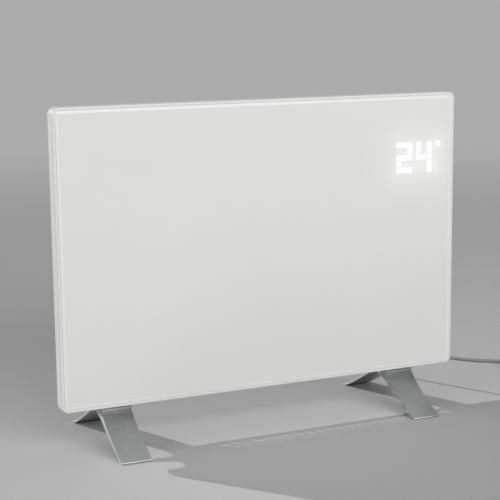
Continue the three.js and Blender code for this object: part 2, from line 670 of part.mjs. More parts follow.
/** Pressed steel housing: rounded tray with a flange, a raised field, grille windows and keyholes. */
function rearHousing() {
  const backEdge = roundedEdge(0, HOUSING_BACK_R, 3).reverse();
  const outside = [[HOUSING_FRONT, 0], ...backEdge.map(([rise, inset]) => [HOUSING_BACK - rise, inset])];
  const innerEdge = backEdge.map(([rise, inset]) => [HOUSING_INNER_BACK - rise, inset + SHEET]);
  const inside = [[HOUSING_FRONT - 1, SHEET], ...innerEdge];
  const tray = steppedPanel(HOUSING_WIDTH, HOUSING_HEIGHT, HOUSING_CORNER_R, HOUSING_MID_Z, outside);
  const hollow = steppedPanel(HOUSING_WIDTH, HOUSING_HEIGHT, HOUSING_CORNER_R, HOUSING_MID_Z, inside);
  const flangeOutline = roundRect(
    HOUSING_WIDTH + 2 * HOUSING_FLANGE,
    HOUSING_HEIGHT,
    HOUSING_CORNER_R,
    0,
    HOUSING_MID_Z,
  );
  const flange = prism('y', flangeOutline, HOUSING_FRONT, HOUSING_FRONT + SHEET);
  const field = raisedField(HOUSING_BACK, 0);
  const fieldHollow = raisedField(HOUSING_INNER_BACK, SHEET);
  const shell = joined([tray, flange, field]).subtract(joined([hollow, fieldHollow]));
  const screwHoles = housingScrewPlaces().map(([x, z]) => {
    return bar('y', SCREW_SHANK_R + GAP, HOUSING_FRONT - 1, HOUSING_FRONT + SHEET + 1, x, z, 10);
  });
  const cuts = [
    outletWindow(),
    inletWindow(),
    ...backSlots(),
    rockerWindow(),
    keyhole(-KEYHOLE_SPACING / 2),
    keyhole(KEYHOLE_SPACING / 2),
    bar('y', GLAND_NECK_R + GAP, HOUSING_INNER_BACK - 2, HOUSING_BACK + 2, GLAND_X, GLAND_Z),
    ...footScrewPlaces(FOOT_MID_X).map(footScrewHole),
    ...footScrewPlaces(-FOOT_MID_X).map(footScrewHole),
    ...screwHoles,
  ];
  return toGeometry(shell.subtract(joined(cuts)));
}

/** The raised field pressed into the housing's back, standing on a face at y. */
function raisedField(y, inset) {
  const width = HOUSING_FIELD_WIDTH - 2 * inset;
  const height = HOUSING_FIELD_HEIGHT - 2 * inset;
  const slope = HOUSING_FIELD_RISE * 2;
  const sections = [[y - SHEET / 3, 0], [y, 0], [y + HOUSING_FIELD_RISE, slope]];
  return steppedPanel(width, height, HOUSING_CORNER_R, HOUSING_FIELD_Z, sections);
}

/** Window in the housing's top for the outlet grille. */
function outletWindow() {
  const halfX = OUTLET_LENGTH / 2 + GAP;
  const halfY = OUTLET_WIDTH / 2 + GAP;
  return block(
    [-halfX, DUCT_Y - halfY, HOUSING_TOP - SHEET - 1],
    [halfX, DUCT_Y + halfY, HOUSING_TOP + 1],
  );
}

/** Window in the housing's underside for the inlet grille. */
function inletWindow() {
  const halfX = INLET_LENGTH / 2 - INLET_LIP;
  const halfY = INLET_WIDTH / 2 - INLET_LIP;
  return block(
    [-halfX, INLET_Y - halfY, HOUSING_BOTTOM_INSET - 1],
    [halfX, INLET_Y + halfY, HOUSING_FLOOR + 1],
  );
}

/** Places of the inlet's slots along x. */
function inletSlotPlaces() {
  const count = Math.floor((INLET_LENGTH - 3 * INLET_LIP) / INLET_PITCH);
  return Array.from({ length: count }, (_, i) => (i - (count - 1) / 2) * INLET_PITCH);
}

/** Row of upright slots low in the housing's back. */
function backSlots() {
  const low = HOUSING_BOTTOM_INSET + BACK_SLOT_LOW;
  return inletSlotPlaces().map((x) => block(
    [x - BACK_SLOT / 2, HOUSING_INNER_BACK - 1, low],
    [x + BACK_SLOT / 2, HOUSING_BACK + 1, low + BACK_SLOT_HEIGHT],
  ));
}

/** Outlet grille: a lipped frame with leaning louvres and one stiffening rib. */
function outletGrille() {
  const top = HOUSING_TOP + GAP;
  const bottom = top - OUTLET_DEPTH;
  const halfX = OUTLET_LENGTH / 2;
  const halfY = OUTLET_WIDTH / 2;
  const lip = roundRect(OUTLET_LENGTH + 2 * OUTLET_LIP, OUTLET_WIDTH + 2 * OUTLET_LIP, OUTLET_LIP, 0, DUCT_Y);
  const body = joined([
    prism('z', lip, top, top + GRILLE_PLATE),
    block([-halfX, DUCT_Y - halfY, bottom], [halfX, DUCT_Y + halfY, top + GRILLE_PLATE / 2]),
  ]);
  const innerX = halfX - OUTLET_WALL;
  const innerY = halfY - OUTLET_WALL;
  const mouth = block(
    [-innerX, DUCT_Y - innerY, bottom - 1],
    [innerX, DUCT_Y + innerY, top + GRILLE_PLATE + 1],
  );
  const sink = 0.3 * OUTLET_WALL;
  const rib = block(
    [-innerX - sink, DUCT_Y - OUTLET_WALL / 2, bottom + 2],
    [innerX + sink, DUCT_Y + OUTLET_WALL / 2, top],
  );
  return toGeometry(joined([body.subtract(toSolid(mouth)), rib, ...louvres(bottom, top, innerX, innerY + sink)]));
}

/** The louvres of the outlet grille, leaning to one side. */
function louvres(bottom, top, innerX, reachY) {
  const height = top - bottom - 1.5;
  const lean = height * Math.tan(THREE.MathUtils.degToRad(LOUVRE_LEAN));
  const count = Math.floor((2 * innerX - lean) / LOUVRE_PITCH);
  const start = -((count - 1) * LOUVRE_PITCH) / 2;
  return Array.from({ length: count }, (_, i) => {
    const x = start + i * LOUVRE_PITCH;
    const left = x - (lean + LOUVRE_THICK) / 2;
    const profile = polygon([
      [left, bottom + 0.75],
      [left + LOUVRE_THICK, bottom + 0.75],
      [left + LOUVRE_THICK + lean, bottom + 0.75 + height],
      [left + lean, bottom + 0.75 + height],
    ]);
    return prism('y', profile, DUCT_Y - reachY, DUCT_Y + reachY);
  });
}

/** Inlet grille: a slotted plate under the housing. */
function inletGrille() {
  const top = HOUSING_BOTTOM_INSET - GAP;
  const plate = prism('z', roundRect(INLET_LENGTH, INLET_WIDTH, INLET_LIP, 0, INLET_Y), top - GRILLE_PLATE, top);
  const reach = INLET_WIDTH / 2 - 1.4 * INLET_LIP;
  const half = (INLET_PITCH - INLET_BAR) / 2;
  const slots = inletSlotPlaces().map((x) => block(
    [x - half, INLET_Y - reach, top - GRILLE_PLATE - 1],
    [x + half, INLET_Y + reach, top + 1],
  ));
  return cut(plate, ...slots);
}

/** A pan-head screw along y, with its head's seat at the origin and its head behind it. */
function housingScrew() {
  const profile = [
    [0, -SCREW_LENGTH],
    [SCREW_SHANK_R, -SCREW_LENGTH],
    [SCREW_SHANK_R, 0],
    [SCREW_HEAD_R, 0],
    [SCREW_HEAD_R, SCREW_HEAD_H * 0.45],
    [SCREW_HEAD_R * 0.6, SCREW_HEAD_H],
    [0, SCREW_HEAD_H],
  ];
  return revolve('y', profile, 12).rotateX(Math.PI);
}

// ---------------------------------------------------------------------------------------------------------
// Heating element
// ---------------------------------------------------------------------------------------------------------

/** Finned aluminium element: a bored core with four slotted wings, along x about the origin. */
function heatingElement() {
  const half = ELEMENT_LENGTH / 2;
  const core = bar('x', ELEMENT_CORE_R, -half, half, 0, 0, 20);
  const wings = [1, -1].flatMap((upDown) => [1, -1].map((side) => {
    const lean = THREE.MathUtils.degToRad(ELEMENT_WING_ANGLE) * side;
    const [v, u] = [upDown * Math.cos(lean), Math.sin(lean)];
    const [nv, nu] = [-u * (ELEMENT_WING_THICK / 2), v * (ELEMENT_WING_THICK / 2)];
    const tip = 0.6;
    const outline = [
      [nu, nv],
      [-nu, -nv],
      [u * ELEMENT_WING - nu * tip, v * ELEMENT_WING - nv * tip],
      [u * ELEMENT_WING + nu * tip, v * ELEMENT_WING + nv * tip],
    ];
    const anticlockwise = THREE.ShapeUtils.isClockWise(outline.map(([a, b]) => new THREE.Vector2(a, b)));
    return prism('x', polygon(anticlockwise ? outline.reverse() : outline), -half, half);
  }));
  const bore = bar('x', ELEMENT_BORE_R, -half - 1, half + 1, 0, 0, 16);
  const count = Math.floor((ELEMENT_LENGTH - ELEMENT_SLOT_PITCH) / ELEMENT_SLOT_PITCH);
  const start = -((count - 1) * ELEMENT_SLOT_PITCH) / 2;
  const slots = Array.from({ length: count }, (_, i) => start + i * ELEMENT_SLOT_PITCH).flatMap((x) => {
    const reach = ELEMENT_WING + 2;
    const root = ELEMENT_CORE_R + 3;
    return [1, -1].map((side) => block(
      [x - ELEMENT_SLOT / 2, -reach, side > 0 ? root : -reach],
      [x + ELEMENT_SLOT / 2, reach, side > 0 ? reach : -root],
    ));
  });
  return toGeometry(joined([core, ...wings]).subtract(joined([bore, ...slots])));
}

/** Sheathed rod through the element's core, with a terminal stud at each end. */
function elementRod() {
  const sheath = BRACKET_OFFSET + SHEET + BUSH_FLANGE + 4;
  const end = sheath + ROD_STUD;
  return revolve('x', [
    [0, -end],
    [ROD_STUD_R, -end],
    [ROD_STUD_R, -sheath],
    [ROD_R, -sheath],
    [ROD_R, sheath],
    [ROD_STUD_R, sheath],
    [ROD_STUD_R, end],
    [0, end],
  ]);
}

/** Ceramic bush for a bracket's hole, with its flange on the outer side (+x). */
function elementBush() {
  const inner = ROD_R + GAP;
  return revolve('x', [
    [inner, -SHEET - 2],
    [BUSH_R, -SHEET - 2],
    [BUSH_R, GAP],
    [BUSH_FLANGE_R, GAP],
    [BUSH_FLANGE_R, GAP + BUSH_FLANGE],
    [inner, GAP + BUSH_FLANGE],
    [inner, -SHEET - 2],
  ]);
}

/** Bent steel bracket: an upright plate across x with a foot that lies on the housing's back. */
function elementBracket() {
  const back = HOUSING_INNER_BACK - GAP - ELEMENT_Y;
  const half = BRACKET_HEIGHT / 2;
  const angle = polygon([
    [-SHEET, back - BRACKET_WIDTH],
    [0, back - BRACKET_WIDTH],
    [0, back],
    [-BRACKET_FOOT, back],
    [-BRACKET_FOOT, back - SHEET],
    [-SHEET, back - SHEET],
  ]);
  return cut(prism('z', angle, -half, half), bar('x', BUSH_R + GAP, -SHEET - 1, 1));
}

/** Bright reflector sheet between the element and the front, with hems that stand on the pan. */
function heatShield() {
  const half = SHIELD_HEIGHT / 2;
  const [front, back] = [SHIELD_FRONT, SHIELD_BACK];
  const profile = polygon([
    [front, half],
    [front, half - SHIELD_HEM],
    [back - SHIELD_THICK, half - SHIELD_HEM - SHIELD_STANDOFF],
    [back - SHIELD_THICK, -half + SHIELD_HEM + SHIELD_STANDOFF],
    [front, -half + SHIELD_HEM],
    [front, -half],
    [front + SHIELD_THICK, -half],
    [front + SHIELD_THICK, -half + SHIELD_HEM],
    [back, -half + SHIELD_HEM + SHIELD_STANDOFF],
    [back, half - SHIELD_HEM - SHIELD_STANDOFF],
    [front + SHIELD_THICK, half - SHIELD_HEM],
    [front + SHIELD_THICK, half],
  ].reverse());
  const reach = ELEMENT_LENGTH / 2 + 12;
  return prism('x', profile, -reach, reach);
}

/** Disc thermostat that cuts the power if the element overheats, on the reflector. */
function thermalCutout() {
  const profile = [
    [0, 0],
    [CUTOUT_R, 0],
    [CUTOUT_R, 2],
    [CUTOUT_R * 0.7, 2],
    [CUTOUT_R * 0.7, CUTOUT_DEPTH],
    [0, CUTOUT_DEPTH],
  ];
  const tabs = [-1, 1].map((side) => {
    return block([side * 3.4 - 0.4, CUTOUT_DEPTH - 1, -3], [side * 3.4 + 0.4, CUTOUT_DEPTH + 7, 3]);
  });
  return join(revolve('y', profile).rotateX(Math.PI), ...tabs);
}

/** Air temperature probe beside the inlet, standing on the housing's floor. */
function airSensor() {
  return revolve('z', [
    [0, 0],
    [3 * SENSOR_R, 0],
    [3 * SENSOR_R, 2],
    [SENSOR_R, 4],
    [SENSOR_R, SENSOR_HEIGHT - SENSOR_R],
    [SENSOR_R * 0.7, SENSOR_HEIGHT - SENSOR_R * 0.3],
    [0, SENSOR_HEIGHT],
  ], 12);
}

// ---------------------------------------------------------------------------------------------------------
// Control box
// ---------------------------------------------------------------------------------------------------------

/** Open-sided box at the right end of the housing, with posts for the power board. */
function controlBox() {
  const top = BOX_BOTTOM + BOX_HEIGHT;
  const middleY = (BOX_FRONT + BOX_BACK) / 2;
  const middleZ = (BOX_BOTTOM + top) / 2;
  const depth = BOX_BACK - BOX_FRONT;
  const outer = roundRect(depth, BOX_HEIGHT, 4, middleY, middleZ);
  const inner = roundRect(depth - 2 * BOX_WALL, BOX_HEIGHT - 2 * BOX_WALL, 2, middleY, middleZ);
  const floor = BOX_LEFT + BOX_WALL;
  const shell = cut(prism('x', outer, BOX_LEFT, BOX_RIGHT), prism('x', inner, floor, BOX_RIGHT + 1));
  const posts = [[-1, -1], [1, -1], [1, 1], [-1, 1]].map(([sideY, sideZ]) => {
    const y = middleY + sideY * (POWER_BOARD_WIDTH / 2 - 5);
    const z = POWER_BOARD_Z + sideZ * (POWER_BOARD_HEIGHT / 2 - 5);
    return bar('x', BOX_BOSS_R, floor - 0.5, floor + BOX_BOSS, y, z, 12);
  });
  const glandHole = bar('y', GLAND_NECK_R + GAP, BOX_BACK - BOX_WALL - 1, BOX_BACK + 1, GLAND_X, GLAND_Z);
  return cut(join(shell, ...posts), glandHole);
}

/** Power board on the box's posts, across x. */
function powerBoard() {
  const middleY = (BOX_FRONT + BOX_BACK) / 2;
  const outline = roundRect(POWER_BOARD_WIDTH, POWER_BOARD_HEIGHT, 2, middleY, POWER_BOARD_Z, 2);
  return prism('x', outline, POWER_BOARD_X, POWER_BOARD_X + BOARD);
}

/** Relay, a plain moulded block that stands off the board along +x from the origin. */
function relay() {
  const [height, width, length] = RELAY_SIZE;
  return prism('x', roundRect(width, length, 1, 0, 0, 2), 0, height);
}

/** Round capacitor with a crimped neck, along +x from the origin. */
function capacitor() {
  return revolve('x', [
    [0, 0],
    [CAPACITOR_R * 0.9, 0],
    [CAPACITOR_R, 1.5],
    [CAPACITOR_R * 0.93, 3],
    [CAPACITOR_R, 4.5],
    [CAPACITOR_R, CAPACITOR_LENGTH],
    [0, CAPACITOR_LENGTH],
  ]);
}

/** Screw terminal block with one wire entry and one screw well for each way. */
function terminalBlock() {
  const [height, width, depth] = TERMINAL_SIZE;
  const body = prism('x', roundRect(width, depth, 1, 0, 0, 2), 0, height);
  const pitch = width / TERMINAL_WAYS;
  const wells = Array.from({ length: TERMINAL_WAYS }, (_, i) => (i - (TERMINAL_WAYS - 1) / 2) * pitch);
  const screwWells = wells.map((y) => bar('x', TERMINAL_SCREW_R, height - 4, height + 1, y, 1, 10));
  const entries = wells.map((y) => block([3, y - 2.2, -depth / 2 - 1], [8, y + 2.2, -depth / 2 + 4]));
  return cut(body, ...screwWells, ...entries);
}

// ---------------------------------------------------------------------------------------------------------
// Rocker switch
// ---------------------------------------------------------------------------------------------------------

/** Window in the housing's right wall for the rocker switch. */
function rockerWindow() {
  const halfY = ROCKER_BODY_WIDTH / 2 + GAP;
  const halfZ = ROCKER_BODY_HEIGHT / 2 + GAP;
  return block(
    [HOUSING_SIDE - SHEET - 1, DUCT_Y - halfY, ROCKER_Z - halfZ],
    [HOUSING_SIDE + 1, DUCT_Y + halfY, ROCKER_Z + halfZ],
  );
}

/** Switch body with its bezel, about the pivot axis: x runs out of the wall, z along the key. */
function rockerBody() {
  const face = ROCKER_PIVOT_DEPTH;
  const wall = face - ROCKER_BEZEL_THICK;
  const bezel = prism('x', roundRect(ROCKER_BEZEL_WIDTH, ROCKER_BEZEL_HEIGHT, 2), wall, face);
  const body = prism('x', roundRect(ROCKER_BODY_WIDTH, ROCKER_BODY_HEIGHT, 1, 0, 0, 2), wall - ROCKER_BODY_DEPTH, wall + 0.5);
  const tabs = [-1, 0, 1].map((place) => {
    return block(
      [wall - ROCKER_BODY_DEPTH - 8, -3.1, place * 9 - 0.4],
      [wall - ROCKER_BODY_DEPTH + 1, 3.1, place * 9 + 0.4],
    );
  });
  const pocket = prism('x', roundRect(ROCKER_POCKET_WIDTH, ROCKER_POCKET_HEIGHT, 1, 0, 0, 2), face - ROCKER_POCKET_DEPTH, face + 1);
  const sockets = bar('y', ROCKER_PIVOT_R + GAP, -ROCKER_POCKET_WIDTH / 2 - 1.8, ROCKER_POCKET_WIDTH / 2 + 1.8, 0, 0, 12);
  return cut(join(bezel, body, ...tabs), pocket, sockets);
}

/** Rocker key with its two stub axles, level, about the pivot axis. */
function rockerKey() {
  const halfWidth = ROCKER_POCKET_WIDTH / 2 - GAP;
  const ends = 8;
  const dip = ends - ROCKER_HALF * Math.tan(THREE.MathUtils.degToRad(ROCKER_TILT));
  const profile = polygon([
    [-3.2, -3],
    [4.2, -ROCKER_HALF],
    [ends, -ROCKER_HALF],
    [dip, 0],
    [ends, ROCKER_HALF],
    [4.2, ROCKER_HALF],
    [-3.2, 3],
  ].reverse());
  const key = prism('y', profile, -halfWidth, halfWidth);
  const axle = bar('y', ROCKER_PIVOT_R, -halfWidth - 1.5, halfWidth + 1.5, 0, 0, 12);
  return join(key, axle);
}

// ---------------------------------------------------------------------------------------------------------
// Tip-over switch
// ---------------------------------------------------------------------------------------------------------

/** U-shaped bracket with two ears that carry the pin, standing on the origin. */
function tiltBracket() {
  const halfSpan = TILT_EAR_SPAN / 2;
  const halfWidth = TILT_EAR_WIDTH / 2;
  const channel = polygon([
    [-halfSpan - SHEET, 0],
    [halfSpan + SHEET, 0],
    [halfSpan + SHEET, TILT_EAR_HEIGHT],
    [halfSpan, TILT_EAR_HEIGHT],
    [halfSpan, SHEET],
    [-halfSpan, SHEET],
    [-halfSpan, TILT_EAR_HEIGHT],
    [-halfSpan - SHEET, TILT_EAR_HEIGHT],
  ]);
  const pinHoles = bar('x', TILT_PIN_R + GAP, -halfSpan - SHEET - 1, halfSpan + SHEET + 1, 0, TILT_PIN_Z, 12);
  return cut(prism('y', channel, -halfWidth, halfWidth), pinHoles);
}

/** Steel pin through the ears, with a head at one end, about the pivot. */
function tiltPin() {
  const end = TILT_EAR_SPAN / 2 + SHEET + 1.5;
  return revolve('x', [
    [0, -end],
    [TILT_PIN_R, -end],
    [TILT_PIN_R, end - 1.2],
    [TILT_PIN_R + 1.4, end - 1.2],
    [TILT_PIN_R + 1.4, end],
    [0, end],
  ], 12);
}

/** Pendulum: a bored hub, an arm and a round weight, about the pivot. */
function tiltWeight() {
  const hubHalf = TILT_EAR_SPAN / 2 - GAP;
  const weightHalf = TILT_WEIGHT_THICK / 2;
  const hub = bar('x', TILT_PIN_R + 2.6, -hubHalf, hubHalf, 0, 0, 16);
  const arm = block([-1.5, -2.5, -TILT_ARM], [1.5, 2.5, 0]);
  const weight = bar('x', TILT_WEIGHT_R, -weightHalf, weightHalf, 0, -TILT_ARM, 20);
  const bore = bar('x', TILT_PIN_R + GAP, -hubHalf - 1, hubHalf + 1, 0, 0, 12);
  return cut(join(hub, arm, weight), bore);
}

/** Microswitch on the outside of the left ear, with its lever and terminals. */
function microswitch() {
  const [thick, length, height] = MICROSWITCH_SIZE;
  const body = prism('x', roundRect(length, height, 1, 0, 0, 2), -thick, 0);
  const legs = [-1, 0, 1].map((place) => {
    return block([-thick / 2 - 1.4, place * 7 - 0.4, -height / 2 - 4], [-thick / 2 + 1.4, place * 7 + 0.4, -height / 2 + 1]);
  });
  return join(body, ...legs);
}

// ---------------------------------------------------------------------------------------------------------
// Feet
// ---------------------------------------------------------------------------------------------------------

/** Side profile of a foot in the YZ plane: y from the face of the glass, z from the floor. */
function footProfile() {
  const [front, rear] = [-FOOT_FRONT_REACH, FOOT_REAR_REACH];
  const [shoulderY, shoulderZ] = [FOOT_SHOULDER_Y, FOOT_SHOULDER_Z];
  const tipTop = FOOT_LIFT + FOOT_TIP;
  const shape = new THREE.Shape();
  shape.moveTo(front, FOOT_LIFT);
  shape.lineTo(front + 12, FOOT_LIFT);
  shape.lineTo(FOOT_ARCH_Y - 41, FOOT_ARCH_Z - 13);
  shape.quadraticCurveTo(FOOT_ARCH_Y - 18, FOOT_ARCH_Z, FOOT_ARCH_Y, FOOT_ARCH_Z);
  shape.quadraticCurveTo(FOOT_ARCH_Y + 14, FOOT_ARCH_Z, FOOT_ARCH_Y + 35, FOOT_ARCH_Z - 15.5);
  shape.lineTo(rear - 38, FOOT_LIFT + 9.2);
  shape.quadraticCurveTo(rear - 24, FOOT_LIFT + 1.2, rear - 14, FOOT_LIFT);
  shape.lineTo(rear, FOOT_LIFT);
  shape.lineTo(rear, tipTop);
  shape.quadraticCurveTo(rear - 19, FOOT_LIFT + 6.2, rear - 36, FOOT_LIFT + 14.4);
  shape.lineTo(FOOT_ARCH_Y + 28, FOOT_ARCH_Z - 7.4);
  shape.quadraticCurveTo(FOOT_NECK_BACK + 4, shoulderZ - 0.5, FOOT_NECK_BACK, shoulderZ + 8);
  shape.lineTo(FOOT_NECK_BACK, FOOT_NECK_TOP);
  shape.lineTo(FOOT_NECK_FRONT, FOOT_NECK_TOP);
  shape.lineTo(FOOT_NECK_FRONT, shoulderZ + 6.5);
  shape.lineTo(shoulderY + 5, shoulderZ + 4.6);
  shape.lineTo(shoulderY + 0.9, shoulderZ + 0.6);
  shape.lineTo(shoulderY - 0.6, shoulderZ + 0.4);
  shape.lineTo(shoulderY - 1.8, shoulderZ - 0.4);
  shape.lineTo(shoulderY - 2.2, shoulderZ - 1.9);
  shape.quadraticCurveTo(shoulderY - 33, shoulderZ - 31.9, front, tipTop);
  return shape;
}

/** A foot: the arched section at its full width, bored for its screws and recessed for its pads. */
function foot() {
  const half = FOOT_WIDTH / 2;
  const body = prism('x', footProfile(), -half, half);
  const screwBores = footScrewPlaces(0).flatMap(([x, y]) => [
    bar('z', FOOT_SCREW_R + GAP, FOOT_ARCH_Z - 10, FOOT_NECK_TOP + 1, x, y),
    bar('z', FOOT_SCREW_HEAD_R + 2 * GAP, FOOT_ARCH_Z - 30, FOOT_SEAT, x, y),
  ]);
  const reach = half - PAD_MARGIN + GAP;
  const padRecesses = padPlaces().map((y) => block(
    [-reach, y - PAD_LENGTH / 2 - GAP, 0],
    [reach, y + PAD_LENGTH / 2 + GAP, PAD_THICK + GAP],
  ));
  return cut(body, ...screwBores, ...padRecesses);
}

/** Middles of the front and rear pads, along y from the face of the glass. */
function padPlaces() {
  return [-FOOT_FRONT_REACH + 6.5, FOOT_REAR_REACH - 7.5];
}

/** Rubber pad under a tip, on the floor. */
function footPad() {
  const width = FOOT_WIDTH - 2 * PAD_MARGIN;
  return prism('z', roundRect(width, PAD_LENGTH, 1.5, 0, 0, 2), 0, PAD_THICK);
}

/** Places of a foot's screws, as [x, y from the face of the glass]. */
function footScrewPlaces(middleX) {
  return [-1, 1].map((side) => [middleX + (side * FOOT_SCREW_SPACING) / 2, FOOT_SCREW_Y]);
}

/** Hole in the housing's floor for a foot screw. */
function footScrewHole([x, y]) {
  return bar('z', FOOT_SCREW_R + GAP, HOUSING_BOTTOM_INSET - 1, HOUSING_FLOOR + 1, x, y, 12);
}

/** Socket-head screw that holds a foot, pointing up, with its head's seat at the origin. */
function footScrew() {
  const length = FOOT_NECK_TOP - FOOT_SEAT + GAP + SHEET + NUT_PLATE + 2;
  const body = revolve('z', [
    [0, -FOOT_SCREW_HEAD_H],
    [FOOT_SCREW_HEAD_R, -FOOT_SCREW_HEAD_H],
    [FOOT_SCREW_HEAD_R, 0],
    [FOOT_SCREW_R, 0],
    [FOOT_SCREW_R, length],
    [0, length],
  ], 14);
  const socket = bar('z', FOOT_SCREW_HEAD_R * 0.5, -FOOT_SCREW_HEAD_H - 1, -FOOT_SCREW_HEAD_H / 2, 0, 0, 6);
  return cut(body, socket);
}

/** Threaded plate inside the housing that a foot's screws hold on, standing on z = 0. */
function nutPlate() {
  const plate = prism('z', roundRect(NUT_PLATE_WIDTH, NUT_PLATE_DEPTH, 2, 0, FOOT_SCREW_Y, 2), 0, NUT_PLATE);
  const holes = footScrewPlaces(0).map(([x, y]) => bar('z', FOOT_SCREW_R + GAP, -1, NUT_PLATE + 1, x, y, 12));
  return cut(plate, ...holes);
}

// ---------------------------------------------------------------------------------------------------------
// Mains lead
// ---------------------------------------------------------------------------------------------------------

/** Strain relief moulded on the lead: a neck through the wall, a flange and a ribbed taper, along +y. */
function strainRelief() {
  const profile = [
    [0, -SHEET - BOX_WALL - GLAND_NUT - 3],
    [GLAND_NECK_R, -SHEET - BOX_WALL - GLAND_NUT - 3],
    [GLAND_NECK_R, GAP],
    [GLAND_FLANGE_R, GAP],
    [GLAND_FLANGE_R, GLAND_FLANGE],
  ];
  const ribs = 6;
  const pitch = (GLAND_LENGTH - GLAND_FLANGE) / (ribs + 0.5);
  for (let i = 0; i < ribs; i += 1) {
    const share = i / (ribs - 1);
    const radius = THREE.MathUtils.lerp(GLAND_NECK_R + 0.8, GLAND_END_R + 0.5, share);
    const start = GLAND_FLANGE + i * pitch;
    profile.push([radius - 1.2, start + 0.2], [radius - 1.2, start + pitch * 0.35]);
    profile.push([radius, start + pitch * 0.5], [radius, start + pitch]);
  }
  profile.push([GLAND_END_R, GLAND_LENGTH - 1], [GLAND_END_R, GLAND_LENGTH], [0, GLAND_LENGTH]);
  return revolve('y', profile, 14).rotateX(Math.PI);
}

/** Nut that holds the strain relief inside the control box. */
function glandNut() {
  const hexagon = bar('y', GLAND_NUT_R, 0, GLAND_NUT, 0, 0, 6);
  return cut(hexagon, bar('y', GLAND_NECK_R + GAP, -1, GLAND_NUT + 1));
}

/** Where the lead leaves the strain relief, in the part's own frame. */
const CORD_EXIT = [GLAND_X, GLASS_FACE_Y + HOUSING_BACK + GLAND_LENGTH + GAP, PANEL_BOTTOM + GLAND_Z];
const CORD_LIE_Z = CORD_R + CORD_CLEAR;
const PLUG_AXIS_Z = PLUG_R + CORD_CLEAR;

/** Chosen points of the free lead, from its exit over the floor to the coil. */
const CORD_ROUTE = [
  CORD_EXIT,
  [300, 111, 123],
  [300.5, 122, 122],
  [302.5, 136, 115.5],
  [306, 149, 102],
  [311, 161, 83],
  [318, 174, 59],
  [327, 188, 35],
  [339, 203, 16],
  [356, 219, 5.8],
  [378, 233, CORD_LIE_Z],
  [404, 244, CORD_LIE_Z],
  [432, 250, CORD_LIE_Z],
  [462, 250, CORD_LIE_Z],
  [490, 243, CORD_LIE_Z],
  [512, 230, CORD_LIE_Z],
  [527, 212, CORD_LIE_Z],
  [538, 194, CORD_LIE_Z],
  [551, 176, CORD_LIE_Z],
  [569, 157.5, CORD_LIE_Z],
  [589, 142, CORD_LIE_Z],
  [609, 127.3, CORD_LIE_Z],
  [629, 112.5, CORD_LIE_Z],
];
const CORD_HEADING = Math.atan2(-14.8, 20); // of its last stretch, seen from above
const COIL_APPROACH = 31; // from the route's last point to the coil's first turn

/** A point on the floor plane, moved from another along a heading. */
function ahead([x, y, z], heading, distance) {
  return [x + Math.cos(heading) * distance, y + Math.sin(heading) * distance, z];
}

const COIL_START = ahead(CORD_ROUTE.at(-1), CORD_HEADING, COIL_APPROACH);
const COIL_MIDDLE = ahead(COIL_START, CORD_HEADING - Math.PI / 2, COIL_R);
const CORD_END = ahead(COIL_START, CORD_HEADING, -2 * CORD_R - GAP);

/** The free lead as an eight-sided tube along its route. */
function powerCord() {
  const points = [...CORD_ROUTE, CORD_END].map((point) => new THREE.Vector3(...point));
  const path = new THREE.CatmullRomCurve3(points, false, 'centripetal');
  const section = polygon(Array.from({ length: CORD_SIDES }, (_, i) => {
    const angle = ((i + 0.5) / CORD_SIDES) * 2 * Math.PI;
    return [CORD_R * Math.cos(angle), CORD_R * Math.sin(angle)];
  }));
  return new THREE.ExtrudeGeometry(section, { steps: CORD_STEPS, extrudePath: path });
}

/** Radius and height of the coil's centre line after some turns: in on the floor, up, and out again. */
function coilPlace(turns) {
  const climbMiddle = COIL_TURNS / COIL_LAYERS;
  const radius = COIL_R - COIL_STEP * (climbMiddle - Math.abs(turns - climbMiddle));
  const climb = THREE.MathUtils.smoothstep(turns, climbMiddle - 0.25, climbMiddle + 0.25);
  return [radius, CORD_LIE_Z + climb * COIL_STEP];
}

/** Centre line of the coil, from a straight run in, round its turns, to a straight run out to the plug. */
function coilPath() {
  const startAngle = CORD_HEADING + Math.PI / 2;
  const points = [];
  for (let i = 0; i <= 2; i += 1) points.push(ahead(COIL_START, CORD_HEADING, -CORD_R * (2 - i)));
  const steps = Math.round(COIL_TURNS * COIL_STEPS_PER_TURN);
  for (let i = 1; i <= steps; i += 1) {
    const turns = (i / steps) * COIL_TURNS;
    const [radius, height] = coilPlace(turns);
    const angle = startAngle - turns * 2 * Math.PI;
    const [x, y] = ahead(COIL_MIDDLE, angle, radius);
    points.push([x, y, height]);
  }
  const last = points.at(-1);
  for (let i = 1; i <= LEAD_OUT_POINTS; i += 1) {
    const distance = (COIL_LEAD_OUT * i) / LEAD_OUT_POINTS;
    const [x, y] = ahead(last, coilExitHeading(), distance);
    const rise = THREE.MathUtils.smoothstep(distance, CORD_R, COIL_LEAD_OUT - 2 * CORD_R);
    points.push([x, y, THREE.MathUtils.lerp(last[2], PLUG_AXIS_Z, rise)]);
  }
  return points.map((point) => new THREE.Vector3(...point));
}

/** Heading of the lead as it leaves the coil. */
function coilExitHeading() {
  return CORD_HEADING - COIL_TURNS * 2 * Math.PI;
}

